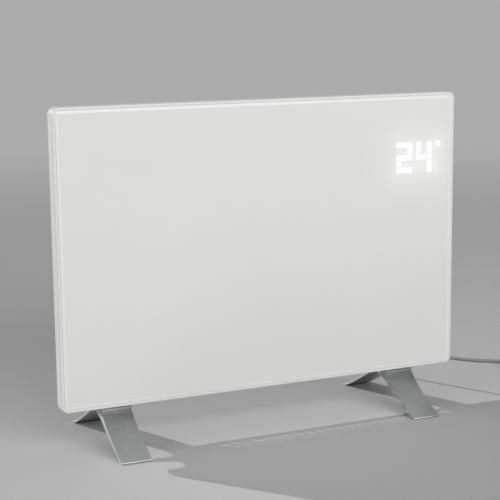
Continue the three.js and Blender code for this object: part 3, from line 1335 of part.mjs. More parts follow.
/** A closed tube of flat rings along points, the rings square to the path and level with the floor. */
function tube(points, radius, sides) {
  const up = new THREE.Vector3(0, 0, 1);
  const rings = points.map((point, i) => {
    const before = points[Math.max(i - 1, 0)];
    const after = points[Math.min(i + 1, points.length - 1)];
    const along = after.clone().sub(before).normalize();
    const side = along.clone().cross(up).normalize();
    const over = side.clone().cross(along);
    return Array.from({ length: sides }, (_, k) => {
      const angle = ((k + 0.5) / sides) * 2 * Math.PI;
      return point.clone().addScaledVector(side, radius * Math.cos(angle)).addScaledVector(over, radius * Math.sin(angle));
    });
  });
  const faces = [];
  for (let r = 0; r + 1 < rings.length; r += 1) {
    for (let k = 0; k < sides; k += 1) {
      const next = (k + 1) % sides;
      const [a, b] = [r * sides, (r + 1) * sides];
      faces.push(a + k, b + next, a + next, a + k, b + k, b + next);
    }
  }
  const last = (rings.length - 1) * sides;
  for (let k = 1; k + 1 < sides; k += 1) faces.push(0, k, k + 1, last, last + k + 1, last + k);
  const geometry = new THREE.BufferGeometry().setFromPoints(rings.flat());
  geometry.setIndex(faces);
  return geometry;
}

/** The least gap between a path's stretches that are more than a few diameters apart along it. */
function leastSelfGap(points, diameter) {
  const lengths = [0];
  for (let i = 1; i < points.length; i += 1) lengths.push(lengths[i - 1] + points[i].distanceTo(points[i - 1]));
  let least = Infinity;
  for (let i = 0; i < points.length; i += 1) {
    for (let j = i + 1; j < points.length; j += 1) {
      if (lengths[j] - lengths[i] > 4 * diameter) least = Math.min(least, points[i].distanceTo(points[j]));
    }
  }
  return least - diameter;
}

/** The wound part of the lead, as one unbroken tube. */
function cordCoil() {
  const path = coilPath();
  console.log(`least gap between the lead's turns: ${leastSelfGap(path, 2 * CORD_R).toFixed(2)} mm`);
  return tube(path, CORD_R, COIL_SIDES);
}

/** Two-pin mains plug, along +x from its tail at the origin. */
function plugBody() {
  const front = PLUG_TAIL + PLUG_LENGTH;
  const body = revolve('x', [
    [0, 0],
    [PLUG_TAIL_R - 0.6, 0],
    [PLUG_TAIL_R, 1],
    [PLUG_TAIL_R + 1.2, PLUG_TAIL],
    [PLUG_R * 0.62, PLUG_TAIL + 4],
    [PLUG_R * 0.8, PLUG_TAIL + 14],
    [PLUG_R * 0.98, PLUG_TAIL + 22],
    [PLUG_R, PLUG_TAIL + 25],
    [PLUG_R, front - PLUG_FACE_INSET],
    [PLUG_R - PLUG_FACE_INSET, front],
    [0, front],
  ], 18);
  const grips = [-1, 1].map((side) => block(
    [PLUG_TAIL + 8, side > 0 ? PLUG_R * 0.72 : -PLUG_R * 1.5, -PLUG_R * 1.5],
    [front - 9, side > 0 ? PLUG_R * 1.5 : -PLUG_R * 0.72, PLUG_R * 1.5],
  ));
  const sockets = plugPinPlaces().map((y) => bar('x', PLUG_PIN_R + GAP, front - 5, front + 1, y, 0, 12));
  return cut(body, ...grips, ...sockets);
}

/** Places of the plug's pins across its face. */
function plugPinPlaces() {
  return [-PLUG_PIN_SPACING / 2, PLUG_PIN_SPACING / 2];
}

/** A plug pin with a rounded tip, along +x from the bottom of its socket at the origin. */
function plugPin() {
  const end = PLUG_PIN_LENGTH + 5 - GAP;
  return revolve('x', [
    [0, 0],
    [PLUG_PIN_R, 0],
    [PLUG_PIN_R, end - PLUG_PIN_R],
    [PLUG_PIN_R * 0.7, end - PLUG_PIN_R * 0.3],
    [0, end],
  ], 12);
}

// ---------------------------------------------------------------------------------------------------------
// Assembly
// ---------------------------------------------------------------------------------------------------------

/** Adds a mesh to a group at a place. */
function place(group, mesh, x, y, z) {
  mesh.position.set(x, y, z);
  group.add(mesh);
  return mesh;
}

/** Glass, frame, pan and display. */
function buildFrontPanel() {
  const group = new THREE.Group();
  group.add(
    part('front_glass', frontGlass(), GLASS_WHITE),
    part('glass_tape', glassTape(), RUBBER),
    part('front_frame', frontFrame(), FRAME_WHITE),
    part('back_pan', backPan(), POWDER_WHITE),
    part('display_light_guide', displayLightGuide(), DIFFUSER),
    part('display_board', displayBoard(), BOARD_GREEN),
    part('display_case', displayCase(), BLACK_PLASTIC),
    part('touch_board', touchBoard(), BOARD_GREEN),
  );
  return group;
}

/** Housing, grilles and screws. */
function buildHousing() {
  const group = new THREE.Group();
  group.add(
    part('rear_housing', rearHousing(), POWDER_WHITE),
    part('outlet_grille', outletGrille(), POWDER_WHITE),
    part('inlet_grille', inletGrille(), POWDER_WHITE),
  );
  housingScrewPlaces().forEach(([x, z], i) => {
    place(group, part(`housing_screw_${i + 1}`, housingScrew(), STEEL), x, HOUSING_FRONT + SHEET + GAP, z);
  });
  return group;
}

/** Element, brackets, reflector and sensors. */
function buildHeater() {
  const group = new THREE.Group();
  const element = new THREE.Group();
  element.position.set(ELEMENT_X, ELEMENT_Y, ELEMENT_Z);
  element.add(part('heating_element', heatingElement(), ALUMINIUM), part('element_rod', elementRod(), STEEL));
  for (const [side, turn] of [['right', 0], ['left', Math.PI]]) {
    const sign = side === 'right' ? 1 : -1;
    const bracket = part(`element_bracket_${side}`, mirroredAcrossX(elementBracket(), sign), GALVANISED);
    const bush = part(`element_bush_${side}`, elementBush(), CERAMIC);
    bush.rotation.z = turn;
    place(element, bracket, sign * BRACKET_OFFSET, 0, 0);
    place(element, bush, sign * BRACKET_OFFSET, 0, 0);
  }
  group.add(element);
  place(group, part('heat_shield', heatShield(), GALVANISED), ELEMENT_X, 0, ELEMENT_Z);
  place(group, part('thermal_cutout', thermalCutout(), WHITE_PLASTIC), ELEMENT_X, SHIELD_BACK + GAP, ELEMENT_Z + CUTOUT_RISE);
  place(group, part('air_sensor', airSensor(), BLACK_PLASTIC), SENSOR_X, HOUSING_FRONT + SENSOR_FROM_FRONT, HOUSING_FLOOR + GAP);
  return group;
}

/** A geometry as it is, or mirrored across x = 0. */
function mirroredAcrossX(geometry, sign) {
  return sign > 0 ? geometry : toGeometry(toSolid(geometry).mirror([1, 0, 0]));
}

/** Box, power board and what stands on it. */
function buildControls() {
  const group = new THREE.Group();
  const middleY = (BOX_FRONT + BOX_BACK) / 2;
  const [, , relayLength] = RELAY_SIZE;
  const boardTop = POWER_BOARD_Z + POWER_BOARD_HEIGHT / 2;
  const boardBottom = POWER_BOARD_Z - POWER_BOARD_HEIGHT / 2;
  group.add(part('control_box', controlBox(), WHITE_PLASTIC), part('power_board', powerBoard(), BOARD_GREEN));
  place(group, part('relay_upper', relay(), BLACK_PLASTIC), COMPONENT_X, middleY, boardTop - 14 - relayLength / 2);
  place(group, part('relay_lower', relay(), BLACK_PLASTIC), COMPONENT_X, middleY, boardTop - 22 - 1.5 * relayLength);
  const capacitorY = middleY + CAPACITOR_ASIDE;
  place(group, part('board_capacitor', capacitor(), BLACK_PLASTIC), COMPONENT_X, capacitorY, boardBottom + CAPACITOR_RISE);
  place(group, part('terminal_block', terminalBlock(), WHITE_PLASTIC), COMPONENT_X, middleY, boardBottom + TERMINAL_RISE);
  return group;
}

/** Rocker switch, held in the housing's right wall, with its key pressed at the top. */
function buildRocker() {
  const group = new THREE.Group();
  group.position.set(HOUSING_SIDE + GAP + ROCKER_BEZEL_THICK - ROCKER_PIVOT_DEPTH, DUCT_Y, ROCKER_Z);
  const key = part('rocker_key', rockerKey(), BLACK_PLASTIC);
  key.rotation.y = THREE.MathUtils.degToRad(-ROCKER_TILT);
  group.add(part('rocker_body', rockerBody(), BLACK_PLASTIC), key);
  return group;
}

/** Tip-over switch on the floor of the control box. */
function buildTiltSwitch() {
  const group = new THREE.Group();
  group.position.set(TILT_X, TILT_Y, BOX_BOTTOM + BOX_WALL + GAP);
  group.add(part('tilt_bracket', tiltBracket(), GALVANISED));
  place(group, part('tilt_pin', tiltPin(), STEEL), 0, 0, TILT_PIN_Z);
  place(group, part('tilt_weight', tiltWeight(), BRASS), 0, 0, TILT_PIN_Z);
  const switchZ = TILT_PIN_Z + TILT_PIN_R + MICROSWITCH_SIZE[2] / 2 + 3;
  place(group, part('tilt_microswitch', microswitch(), BLACK_PLASTIC), -TILT_EAR_SPAN / 2 - SHEET - GAP, 0, switchZ);
  return group;
}

/** One foot with its screws, nut plate and pads, laid out from the floor under the face of the glass. */
function buildFoot(side) {
  const group = new THREE.Group();
  const x = side === 'right' ? FOOT_MID_X : -FOOT_MID_X;
  group.position.set(x, 0, 0);
  group.add(part(`foot_${side}`, foot(), SATIN_FOOT));
  footScrewPlaces(0).forEach(([screwX, screwY], i) => {
    place(group, part(`foot_screw_${side}_${i + 1}`, footScrew(), STEEL), screwX, screwY, FOOT_SEAT - GAP);
  });
  ['front', 'rear'].forEach((end, i) => {
    place(group, part(`foot_pad_${side}_${end}`, footPad(), RUBBER), 0, padPlaces()[i], 0);
  });
  place(group, part(`nut_plate_${side}`, nutPlate(), STEEL), 0, 0, PANEL_BOTTOM + HOUSING_FLOOR + GAP);
  return group;
}

/** Strain relief and its nut, in the body's layout. */
function buildGland() {
  const group = new THREE.Group();
  place(group, part('strain_relief', strainRelief(), CORD_GREY), GLAND_X, HOUSING_BACK, GLAND_Z);
  place(group, part('gland_nut', glandNut(), BLACK_PLASTIC), GLAND_X, BOX_BACK - BOX_WALL - GAP - GLAND_NUT, GLAND_Z);
  return group;
}

/** The plug, lying beside the coil at the end of the lead. */
function buildPlug() {
  const group = new THREE.Group();
  const heading = coilExitHeading();
  const tail = coilPath().at(-1);
  group.position.set(...ahead(tail.toArray(), heading, GAP));
  group.rotation.z = heading;
  group.add(part('plug_body', plugBody(), CORD_GREY));
  plugPinPlaces().forEach((pinY, i) => {
    const pin = part(`plug_pin_${i + 1}`, plugPin(), BRASS);
    place(group, pin, PLUG_TAIL + PLUG_LENGTH - 5 + GAP, pinY, 0);
  });
  return group;
}

/** The whole heater. */
function buildHeaterPart() {
  const whole = new THREE.Group();
  const body = new THREE.Group();
  body.position.set(0, GLASS_FACE_Y, PANEL_BOTTOM);
  body.add(
    buildFrontPanel(),
    buildHousing(),
    buildHeater(),
    buildControls(),
    buildRocker(),
    buildTiltSwitch(),
    buildGland(),
  );
  const feet = new THREE.Group();
  feet.position.set(0, GLASS_FACE_Y, 0);
  feet.add(buildFoot('left'), buildFoot('right'));
  whole.add(body, feet, part('power_cord', powerCord(), CORD_GREY), part('cord_coil', cordCoil(), CORD_GREY), buildPlug());
  return whole;
}

const heater = buildHeaterPart();

export default heater;
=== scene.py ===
"""Looks of a glass panel convector heater on two feet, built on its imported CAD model.

Lengths in this file are in millimetres unless a name says otherwise; meshes are made in metres.
"""

import sys
import logging
import math
from dataclasses import dataclass
from enum import Enum
from typing import Any, Iterable, Optional, Sequence

import bmesh
import bpy
from mathutils import Matrix, Vector


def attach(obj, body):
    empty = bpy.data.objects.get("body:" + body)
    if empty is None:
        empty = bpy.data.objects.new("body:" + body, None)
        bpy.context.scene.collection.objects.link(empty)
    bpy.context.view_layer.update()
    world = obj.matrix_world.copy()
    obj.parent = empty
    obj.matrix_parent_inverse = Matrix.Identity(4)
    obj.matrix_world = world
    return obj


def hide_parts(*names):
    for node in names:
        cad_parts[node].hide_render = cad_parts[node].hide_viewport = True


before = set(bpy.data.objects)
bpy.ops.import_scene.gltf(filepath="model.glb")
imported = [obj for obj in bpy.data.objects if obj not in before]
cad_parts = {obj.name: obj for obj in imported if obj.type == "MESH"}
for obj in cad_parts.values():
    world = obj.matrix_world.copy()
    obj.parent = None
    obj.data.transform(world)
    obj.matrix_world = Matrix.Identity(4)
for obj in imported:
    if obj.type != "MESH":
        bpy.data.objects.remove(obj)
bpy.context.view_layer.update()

logging.basicConfig(level=logging.INFO, format="%(name)s: %(message)s", stream=sys.stdout)
LOG = logging.getLogger("heater")

Point = tuple[float, float, float]
Pair = tuple[float, float]
Piece = bpy.types.Object
Tree = bpy.types.NodeTree
Node = bpy.types.Node
Socket = bpy.types.NodeSocket

MM = 0.001
WHITE = (1.0, 1.0, 1.0, 1.0)
# How fine and how rough every noise is, and the two values between which nearly all of it lies.
NOISE = {"Detail": 3.0, "Roughness": 0.55}
NOISE_LOW = 0.3
NOISE_HIGH = 0.7

# Sizes shared by several sub-assemblies, as in the part's source.
GAP = 0.3
SHEET = 1.0
GLASS_FACE_Y = -54.5
PANEL_WIDTH = 740.0
PANEL_HEIGHT = 495.0
PANEL_BOTTOM = 73.0
PANEL_MID_Z = PANEL_BOTTOM + PANEL_HEIGHT / 2
PANEL_CORNER_R = 12.0
FRAME_RIM = 5.0
HOUSING_FRONT_Y = -29.2
HOUSING_BACK_Y = 65.5
HOUSING_SIDE = 336.0
HOUSING_TOP_Z = 554.0
DUCT_Y = (HOUSING_FRONT_Y + HOUSING_BACK_Y) / 2
LEAD_EXIT = (300.0, 103.8, 123.0)
FOOT_X = 271.2
FOOT_BORE_R = 2.8
FOOT_SCREW_X = 13.0
FOOT_SCREW_DEPTH = 44.0  # of the foot's screws, behind the face of the glass


class Axis(Enum):
    """An axis of the part's frame, with the two directions of a drawing across it."""

    X = ((0, 1, 0), (0, 0, 1), (1, 0, 0))
    Y = ((1, 0, 0), (0, 0, 1), (0, 1, 0))
    Z = ((1, 0, 0), (0, 1, 0), (0, 0, 1))

    def place(self, u: float, v: float, w: float) -> Vector:
        """The point at (u, v) of the drawing and w along the axis."""
        a, b, c = (Vector(direction) for direction in self.value)
        return a * u + b * v + c * w


# ---------------------------------------------------------------------------------------------------------
# Finishes
# ---------------------------------------------------------------------------------------------------------


def linear(code: str, alpha: float = 1.0) -> tuple[float, float, float, float]:
    """Turns an sRGB hex colour into linear components.

    Args:
        code: six hex digits after a hash.
        alpha: the fourth component.

    Returns:
        Linear red, green, blue and alpha.
    """
    parts = [int(code[i : i + 2], 16) / 255 for i in (1, 3, 5)]
    curve = [c / 12.92 if c <= 0.04045 else ((c + 0.055) / 1.055) ** 2.4 for c in parts]
    return (curve[0], curve[1], curve[2], alpha)


def per_metre(size_mm: float) -> float:
    """A pattern's scale: how many marks of a size in millimetres lie along a metre."""
    return 1 / (size_mm * MM)


def add_node(tree: Tree, kind: str, inputs: Optional[dict] = None, **settings: Any) -> Node:
    """Adds a node, with its inputs set or linked.

    Args:
        tree: the node tree.
        kind: the node's type name without the ShaderNode prefix.
        inputs: input name or number to a value or to another node's output.
        settings: the node's own properties.

    Returns:
        The new node.
    """
    node = tree.nodes.new("ShaderNode" + kind)
    for name, value in settings.items():
        setattr(node, name, value)
    for key, value in (inputs or {}).items():
        if isinstance(value, Socket):
            tree.links.new(value, node.inputs[key])
        else:
            node.inputs[key].default_value = value
    return node


def seen_directly(tree: Tree) -> Socket:
    """Tells the rays that show a surface from those that light the object.

    Args:
        tree: the node tree.

    Returns:
        One for rays from the camera, from gloss and through glass, else nought.
    """
    path = add_node(tree, "LightPath")
    inputs = {0: path.outputs["Is Camera Ray"], 1: path.outputs["Is Glossy Ray"]}
    mirrored = add_node(tree, "Math", inputs, operation="MAXIMUM").outputs[0]
    inputs = {0: mirrored, 1: path.outputs["Is Transmission Ray"]}
    return add_node(tree, "Math", inputs, operation="MAXIMUM").outputs[0]


@dataclass(frozen=True)
class Finish:
    """A surface as it is made: colour, gloss, a fine grain and a slow wander of both.

    Lengths are the sizes of the grain's marks on the real surface.
    """

    name: str
    colour: str
    roughness: float
    metallic: float = 0.0
    mottle: float = 0.03
    mottle_mm: float = 90.0
    grain_mm: float = 1.2
    grain_depth_mm: float = 0.01
    gloss_wander: float = 0.05
    grain_stretch: Point = (1.0, 1.0, 1.0)

    def material(self) -> bpy.types.Material:
        """The finish as a material, made once.

        Returns:
            The material.
        """
        made = bpy.data.materials.get(self.name)
        if made is None:
            made = bpy.data.materials.new(self.name)
            made.use_nodes = True
            tree = made.node_tree
            shader = tree.nodes["Principled BSDF"]
            shader.inputs["Roughness"].default_value = self.roughness
            shader.inputs["Metallic"].default_value = self.metallic
            self.dress(tree, shader, add_node(tree, "TexCoord").outputs["Object"])
        return made

    def dress(self, tree: Tree, shader: Node, place: Socket) -> None:
        """Wires colour, roughness and bump to the shader.

        Args:
            tree: the node tree.
            shader: the shader that it is wired to.
            place: the surface's own coordinates.
        """
        along = add_node(tree, "Mapping", {"Vector": place, "Scale": self.grain_stretch}).outputs["Vector"]
        cloud = add_node(tree, "TexNoise", {"Vector": place, "Scale": per_metre(self.mottle_mm), **NOISE})
        tree.links.new(self.tinted(tree, cloud.outputs["Fac"]), shader.inputs["Base Color"])
        grain = add_node(tree, "TexNoise", {"Vector": along, "Scale": per_metre(self.grain_mm), **NOISE})
        self.wire_gloss(tree, shader, grain.outputs["Fac"])
        self.wire_bump(tree, shader, grain.outputs["Fac"])

    def tinted(self, tree: Tree, mask: Socket, spread: Optional[float] = None) -> Socket:
        """The finish's colour, darker and lighter by a share where a mask is low and high.

        Args:
            tree: the node tree.
            mask: values from 0 to 1 over the surface.
            spread: the share, or the finish's own mottle.

        Returns:
            The colour.
        """
        share = self.mottle if spread is None else spread
        base = linear(self.colour)
        dark = tuple(c * (1 - share) for c in base[:3]) + (1.0,)
        light = tuple(min(c * (1 + share), 1.0) for c in base[:3]) + (1.0,)
        ramp = add_node(tree, "ValToRGB", {"Fac": mask})
        ramp.color_ramp.elements[0].position = NOISE_LOW
        ramp.color_ramp.elements[0].color = dark
        ramp.color_ramp.elements[1].position = NOISE_HIGH
        ramp.color_ramp.elements[1].color = light
        return ramp.outputs["Color"]

    def wire_gloss(self, tree: Tree, shader: Node, mask: Socket) -> None:
        """Roughness that wanders with a mask.

        Args:
            tree: the node tree.
            shader: the shader that it is wired to.
            mask: values from 0 to 1 over the surface.
        """
        low = max(self.roughness - self.gloss_wander, 0.02)
        high = min(self.roughness + self.gloss_wander, 1.0)
        inputs = {"Value": mask, "From Min": NOISE_LOW, "From Max": NOISE_HIGH, "To Min": low, "To Max": high}
        spread = add_node(tree, "MapRange", inputs)
        tree.links.new(spread.outputs["Result"], shader.inputs["Roughness"])

    def wire_bump(self, tree: Tree, shader: Node, mask: Socket) -> None:
        """A bump of the grain's real depth.

        Args:
            tree: the node tree.
            shader: the shader that it is wired to.
            mask: values from 0 to 1 over the surface.
        """
        inputs = {"Height": mask, "Strength": 1.0, "Distance": self.grain_depth_mm * MM}
        bump = add_node(tree, "Bump", inputs)
        tree.links.new(bump.outputs["Normal"], shader.inputs["Normal"])

    def wire_light(self, tree: Tree, shader: Node, strength: Socket) -> None:
        """White light from the surface itself."""
        tree.links.new(strength, shader.inputs["Emission Strength"])
        shader.inputs["Emission Color"].default_value = WHITE


@dataclass(frozen=True)
class TemperedGlass(Finish):
    """Float glass with white enamel fired on its back: a deep gloss over milky white, lit by the display."""

    display_middle: Pair = (0.0, 0.0)
    display_half: Pair = (1.0, 1.0)
    halo: float = 0.15
    halo_reach_mm: float = 27.0
    clear_layer: float = 0.6
    clear_roughness: float = 0.06

    def dress(self, tree: Tree, shader: Node, place: Socket) -> None:
        """Adds the clear glass over the enamel, and the display's light spread in the glass.

        Args:
            tree: the node tree.
            shader: the shader that it is wired to.
            place: the surface's own coordinates.
        """
        super().dress(tree, shader, place)
        shader.inputs["Coat Weight"].default_value = self.clear_layer
        shader.inputs["Coat Roughness"].default_value = self.clear_roughness
        x, z = self.display_middle
        middle = (x * MM, 0.0, z * MM)
        half = (self.display_half[0] * MM, 1.0, self.display_half[1] * MM)
        offset = add_node(tree, "VectorMath", {0: place, 1: middle}, operation="SUBTRACT")
        away = add_node(tree, "VectorMath", {0: offset.outputs[0]}, operation="ABSOLUTE")
        outside = add_node(tree, "VectorMath", {0: away.outputs[0], 1: half}, operation="SUBTRACT")
        clear = add_node(tree, "VectorMath", {0: outside.outputs[0], 1: (0.0, 0.0, 0.0)}, operation="MAXIMUM")
        distance = add_node(tree, "VectorMath", {0: clear.outputs[0]}, operation="LENGTH")
        reach = -1 / (self.halo_reach_mm * MM)
        power = add_node(tree, "Math", {0: distance.outputs["Value"], 1: reach}, operation="MULTIPLY")
        fall = add_node(tree, "Math", {0: power.outputs[0]}, operation="EXPONENT")
        glow = add_node(tree, "Math", {0: fall.outputs[0], 1: self.halo}, operation="MULTIPLY")
        self.wire_light(tree, shader, glow.outputs[0])


@dataclass(frozen=True)
class LightCell(Finish):
    """Window left clear in the enamel, lit evenly by the moulded guide behind it."""

    glow: float = 1.0
    patch_mm: float = 12.0
    unevenness: float = 0.06

    def dress(self, tree: Tree, shader: Node, place: Socket) -> None:
        """Adds the light, a little uneven.

        Args:
            tree: the node tree.
            shader: the shader that it is wired to.
            place: the surface's own coordinates.
        """
        super().dress(tree, shader, place)
        uneven = add_node(tree, "TexNoise", {"Vector": place, "Scale": per_metre(self.patch_mm), **NOISE})
        low, high = self.glow * (1 - self.unevenness), self.glow * (1 + self.unevenness)
        spread = add_node(tree, "MapRange", {"Value": uneven.outputs["Fac"], "To Min": low, "To Max": high})
        self.wire_light(tree, shader, spread.outputs["Result"])


@dataclass(frozen=True)
class Spangled(Finish):
    """Hot-dip galvanised sheet: zinc crystals that differ in shade and gloss."""

    spangle_mm: float = 9.0
    spangle_contrast: float = 0.12

    def dress(self, tree: Tree, shader: Node, place: Socket) -> None:
        """Replaces the slow mottle by crystals.

        Args:
            tree: the node tree.
            shader: the shader that it is wired to.
            place: the surface's own coordinates.
        """
        super().dress(tree, shader, place)
        cells = add_node(tree, "TexVoronoi", {"Vector": place, "Scale": per_metre(self.spangle_mm)})
        shade = add_node(tree, "SeparateColor", {"Color": cells.outputs["Color"]}).outputs["Red"]
        tree.links.new(self.tinted(tree, shade, self.spangle_contrast), shader.inputs["Base Color"])
        self.wire_gloss(tree, shader, shade)


@dataclass(frozen=True)
class SolderMask(Finish):
    """Glass-fibre board under green mask, its copper tracks showing as a slightly raised, lighter pattern."""

    track_mm: float = 3.0
    track_edge: Pair = (0.35, 0.45)
    track_contrast: float = 0.35

    def dress(self, tree: Tree, shader: Node, place: Socket) -> None:
        """Adds the tracks.

        Args:
            tree: the node tree.
            shader: the shader that it is wired to.
            place: the surface's own coordinates.
        """
        super().dress(tree, shader, place)
        inputs = {"Vector": place, "Scale": per_metre(self.track_mm)}
        cells = add_node(tree, "TexVoronoi", inputs, distance="CHEBYCHEV", feature="F1")
        start, end = self.track_edge
        span = {"Value": cells.outputs["Distance"], "From Min": start, "From Max": end}
        tracks = add_node(tree, "MapRange", span).outputs["Result"]
        tree.links.new(self.tinted(tree, tracks, self.track_contrast), shader.inputs["Base Color"])
        self.wire_bump(tree, shader, tracks)


@dataclass(frozen=True)
class StudioFloor(Finish):
    """Matt painted board under the object, which passes far out into the tone of the backdrop."""

    backdrop: float = 0.41
    near_mm: float = 1300.0
    far_mm: float = 5200.0

    def dress(self, tree: Tree, shader: Node, place: Socket) -> None:
        """Keeps the paint and its shadows near the object, and shows the backdrop's tone beyond.

        Args:
            tree: the node tree.
            shader: the shader that it is wired to.
            place: the surface's own coordinates.
        """
        super().dress(tree, shader, place)
        shader.inputs["Specular IOR Level"].default_value = 0.0
        reach = add_node(tree, "VectorMath", {0: place}, operation="LENGTH").outputs["Value"]
        span = {"Value": reach, "From Min": self.near_mm * MM, "From Max": self.far_mm * MM}
        far = add_node(tree, "MapRange", span, interpolation_type="SMOOTHSTEP").outputs["Result"]
        shown = add_node(tree, "Math", {0: far, 1: seen_directly(tree)}, operation="MULTIPLY").outputs[0]
        paint = shader.inputs["Base Color"].links[0].from_socket
        mix = {0: shown, 6: paint, 7: (0.0, 0.0, 0.0, 1.0)}
        tree.links.new(add_node(tree, "Mix", mix, data_type="RGBA").outputs[2], shader.inputs["Base Color"])
        glow = add_node(tree, "Math", {0: shown, 1: self.backdrop}, operation="MULTIPLY").outputs[0]
        self.wire_light(tree, shader, glow)


# Toughened float glass with enamel fired on its back: an even milky white under a clear, soft gloss.
GLASS = TemperedGlass(
    "enamelled_glass", "#DEDEDD", 0.22, mottle=0.008, mottle_mm=220, grain_mm=40, grain_depth_mm=0.002,
    gloss_wander=0.03, display_middle=(296.0, 455.2), display_half=(34.0, 20.0),
)
# The same glass ground and polished at its edge: a narrow band that catches the lamps before the face does.
# Its colour is painted a shade lighter than the face's: a painted highlight along the bevel.
GLASS_BEVEL_PAINTED_LIGHTER = Finish(
    "polished_glass_bevel_painted_highlight", "#E3E3E2", 0.3, mottle=0.006, mottle_mm=120, grain_mm=30, grain_depth_mm=0.002,
    gloss_wander=0.02,
)
# Light guide seen through clear windows in the enamel: even white squares with crisp edges.
CELL_LIGHT = LightCell(
    "display_light", "#F0F0F0", 0.3, mottle=0.01, mottle_mm=6, grain_mm=2, grain_depth_mm=0.0, glow=0.27,
)
# Injection-moulded plastic from a satin tool: a soft sheen along the rounded rim, no orange peel.
FRAME_WHITE = Finish(
    "moulded_frame_white", "#DDDDDC", 0.3, mottle=0.015, mottle_mm=140, grain_mm=0.9, grain_depth_mm=0.003,
)
# Baked powder coat on steel: broad soft highlights broken by orange peel. The peel, about 0.5 mm on the real
# part, is drawn three times coarser, as it would vanish at this distance.
POWDER_WHITE = Finish(
    "powder_coat_white", "#D9DAD8", 0.5, mottle=0.02, mottle_mm=160, grain_mm=1.6, grain_depth_mm=0.03,
    gloss_wander=0.08,
)
# Hot-dip galvanised sheet, left bare: dull grey with crystals that turn lighter and darker with the view.
ZINC_SHEET = Spangled(
    "galvanised_sheet", "#A9ADB0", 0.38, metallic=0.9, grain_mm=0.6, grain_depth_mm=0.004,
)
# Rolled aluminium sheet: bright, with faint lines along the rolling direction.
BRIGHT_SHEET = Finish(
    "bright_aluminium_sheet", "#C3C5C8", 0.22, metallic=1.0, grain_mm=0.5, grain_depth_mm=0.003,
    grain_stretch=(0.05, 1.0, 1.0),
)
# Extruded aluminium as it leaves the die: satin, with fine die lines along its length.
EXTRUDED = Finish(
    "extruded_aluminium", "#B4B7BB", 0.34, metallic=1.0, grain_mm=0.7, grain_depth_mm=0.006,
    grain_stretch=(0.03, 1.0, 1.0), gloss_wander=0.08,
)
# Aluminium brushed down the leg: a satin that goes from dark to light with the curve. The brush lines, about
# 0.1 mm apart on the real foot, are drawn four times coarser so that they show.
FOOT_FACE = Finish(
    "foot_brushed_face", "#B8B9BA", 0.3, metallic=1.0, mottle=0.02, mottle_mm=60, grain_mm=0.45,
    grain_depth_mm=0.0015, grain_stretch=(1.0, 0.02, 0.02), gloss_wander=0.04,
)
# Sawn and tumbled end of the section: a pale, broad sheen without a mirror image.
FOOT_CUT = Finish(
    "foot_bright_cut_side", "#BFC0C1", 0.78, metallic=1.0, mottle=0.02, mottle_mm=25, grain_mm=0.5,
    grain_depth_mm=0.002, grain_stretch=(1.0, 0.05, 1.0),
)
# Zinc-plated steel fasteners: cool grey, slightly cloudy, with small sharp highlights.
PLATED_STEEL = Finish(
    "zinc_plated_steel", "#B2B3B1", 0.3, metallic=1.0, mottle=0.06, mottle_mm=14, grain_mm=0.4,
    grain_depth_mm=0.003,
)
# Nickel plate on the plug pins: warm, nearly a mirror.
NICKEL = Finish("nickel_plate", "#C4C0B6", 0.18, metallic=1.0, mottle=0.03, mottle_mm=9, grain_mm=0.3)
# Turned brass terminals: yellow, with a little tarnish in its tone.
BRASS = Finish("brass", "#C0A464", 0.28, metallic=1.0, mottle=0.05, mottle_mm=8, grain_mm=0.3)
# Heat-resistant moulding with a lightly sparked surface: white and nearly matt.
WHITE_PLASTIC = Finish(
    "moulded_plastic_white", "#D6D7D5", 0.42, mottle=0.02, mottle_mm=60, grain_mm=0.5, grain_depth_mm=0.012,
)
# The same tool finish in black: grey at the edges where it catches light, otherwise deep.
BLACK_PLASTIC = Finish(
    "moulded_plastic_black", "#1F2022", 0.45, mottle=0.06, mottle_mm=40, grain_mm=0.5, grain_depth_mm=0.015,
)
# Opal acrylic: smooth and milky.
DIFFUSER = Finish("milky_light_guide", "#EEF0F1", 0.4, mottle=0.02, mottle_mm=20, grain_mm=0.6)
# Printed board under solder mask: green, glossy, with lighter raised tracks.
BOARD = SolderMask("circuit_board", "#2C5A3C", 0.4, mottle=0.05, grain_mm=1.0, grain_depth_mm=0.03)
# Fired and glazed ceramic: cream, with rounded highlights.
CERAMIC = Finish(
    "glazed_ceramic", "#E1DBCD", 0.25, mottle=0.04, mottle_mm=6, grain_mm=1.0, grain_depth_mm=0.02,
)
# Moulded rubber: almost no highlight.
RUBBER = Finish("rubber", "#26272A", 0.8, mottle=0.08, mottle_mm=12, grain_mm=0.4, grain_depth_mm=0.03)
# Closed-cell foam tape: dark, open and without gloss.
FOAM_TAPE = Finish("foam_tape", "#3A3B3D", 0.9, mottle=0.1, mottle_mm=6, grain_mm=0.5, grain_depth_mm=0.06)
# Extruded flexible sheath: mid grey with a low, even sheen along its length.
LEAD_SHEATH = Finish(
    "lead_sheath_grey", "#8F9092", 0.5, mottle=0.04, mottle_mm=70, grain_mm=0.4, grain_depth_mm=0.012,
)
# Matt painted board: pale, with soft shadows and no reflection.
FLOOR = StudioFloor(
    "studio_floor", "#C1C1C1", 0.75, mottle=0.008, mottle_mm=600, grain_mm=3, grain_depth_mm=0.02,
)


# ---------------------------------------------------------------------------------------------------------
# Mesh work
# ---------------------------------------------------------------------------------------------------------


def linked(name: str, data: bpy.types.ID) -> Piece:
    """Puts some data into the scene as a new object.

    Args:
        name: the new object's name.
        data: its mesh, curve, lamp or camera.

    Returns:
        The object.
    """
    made = bpy.data.objects.new(name, data)
    bpy.context.scene.collection.objects.link(made)
    return made


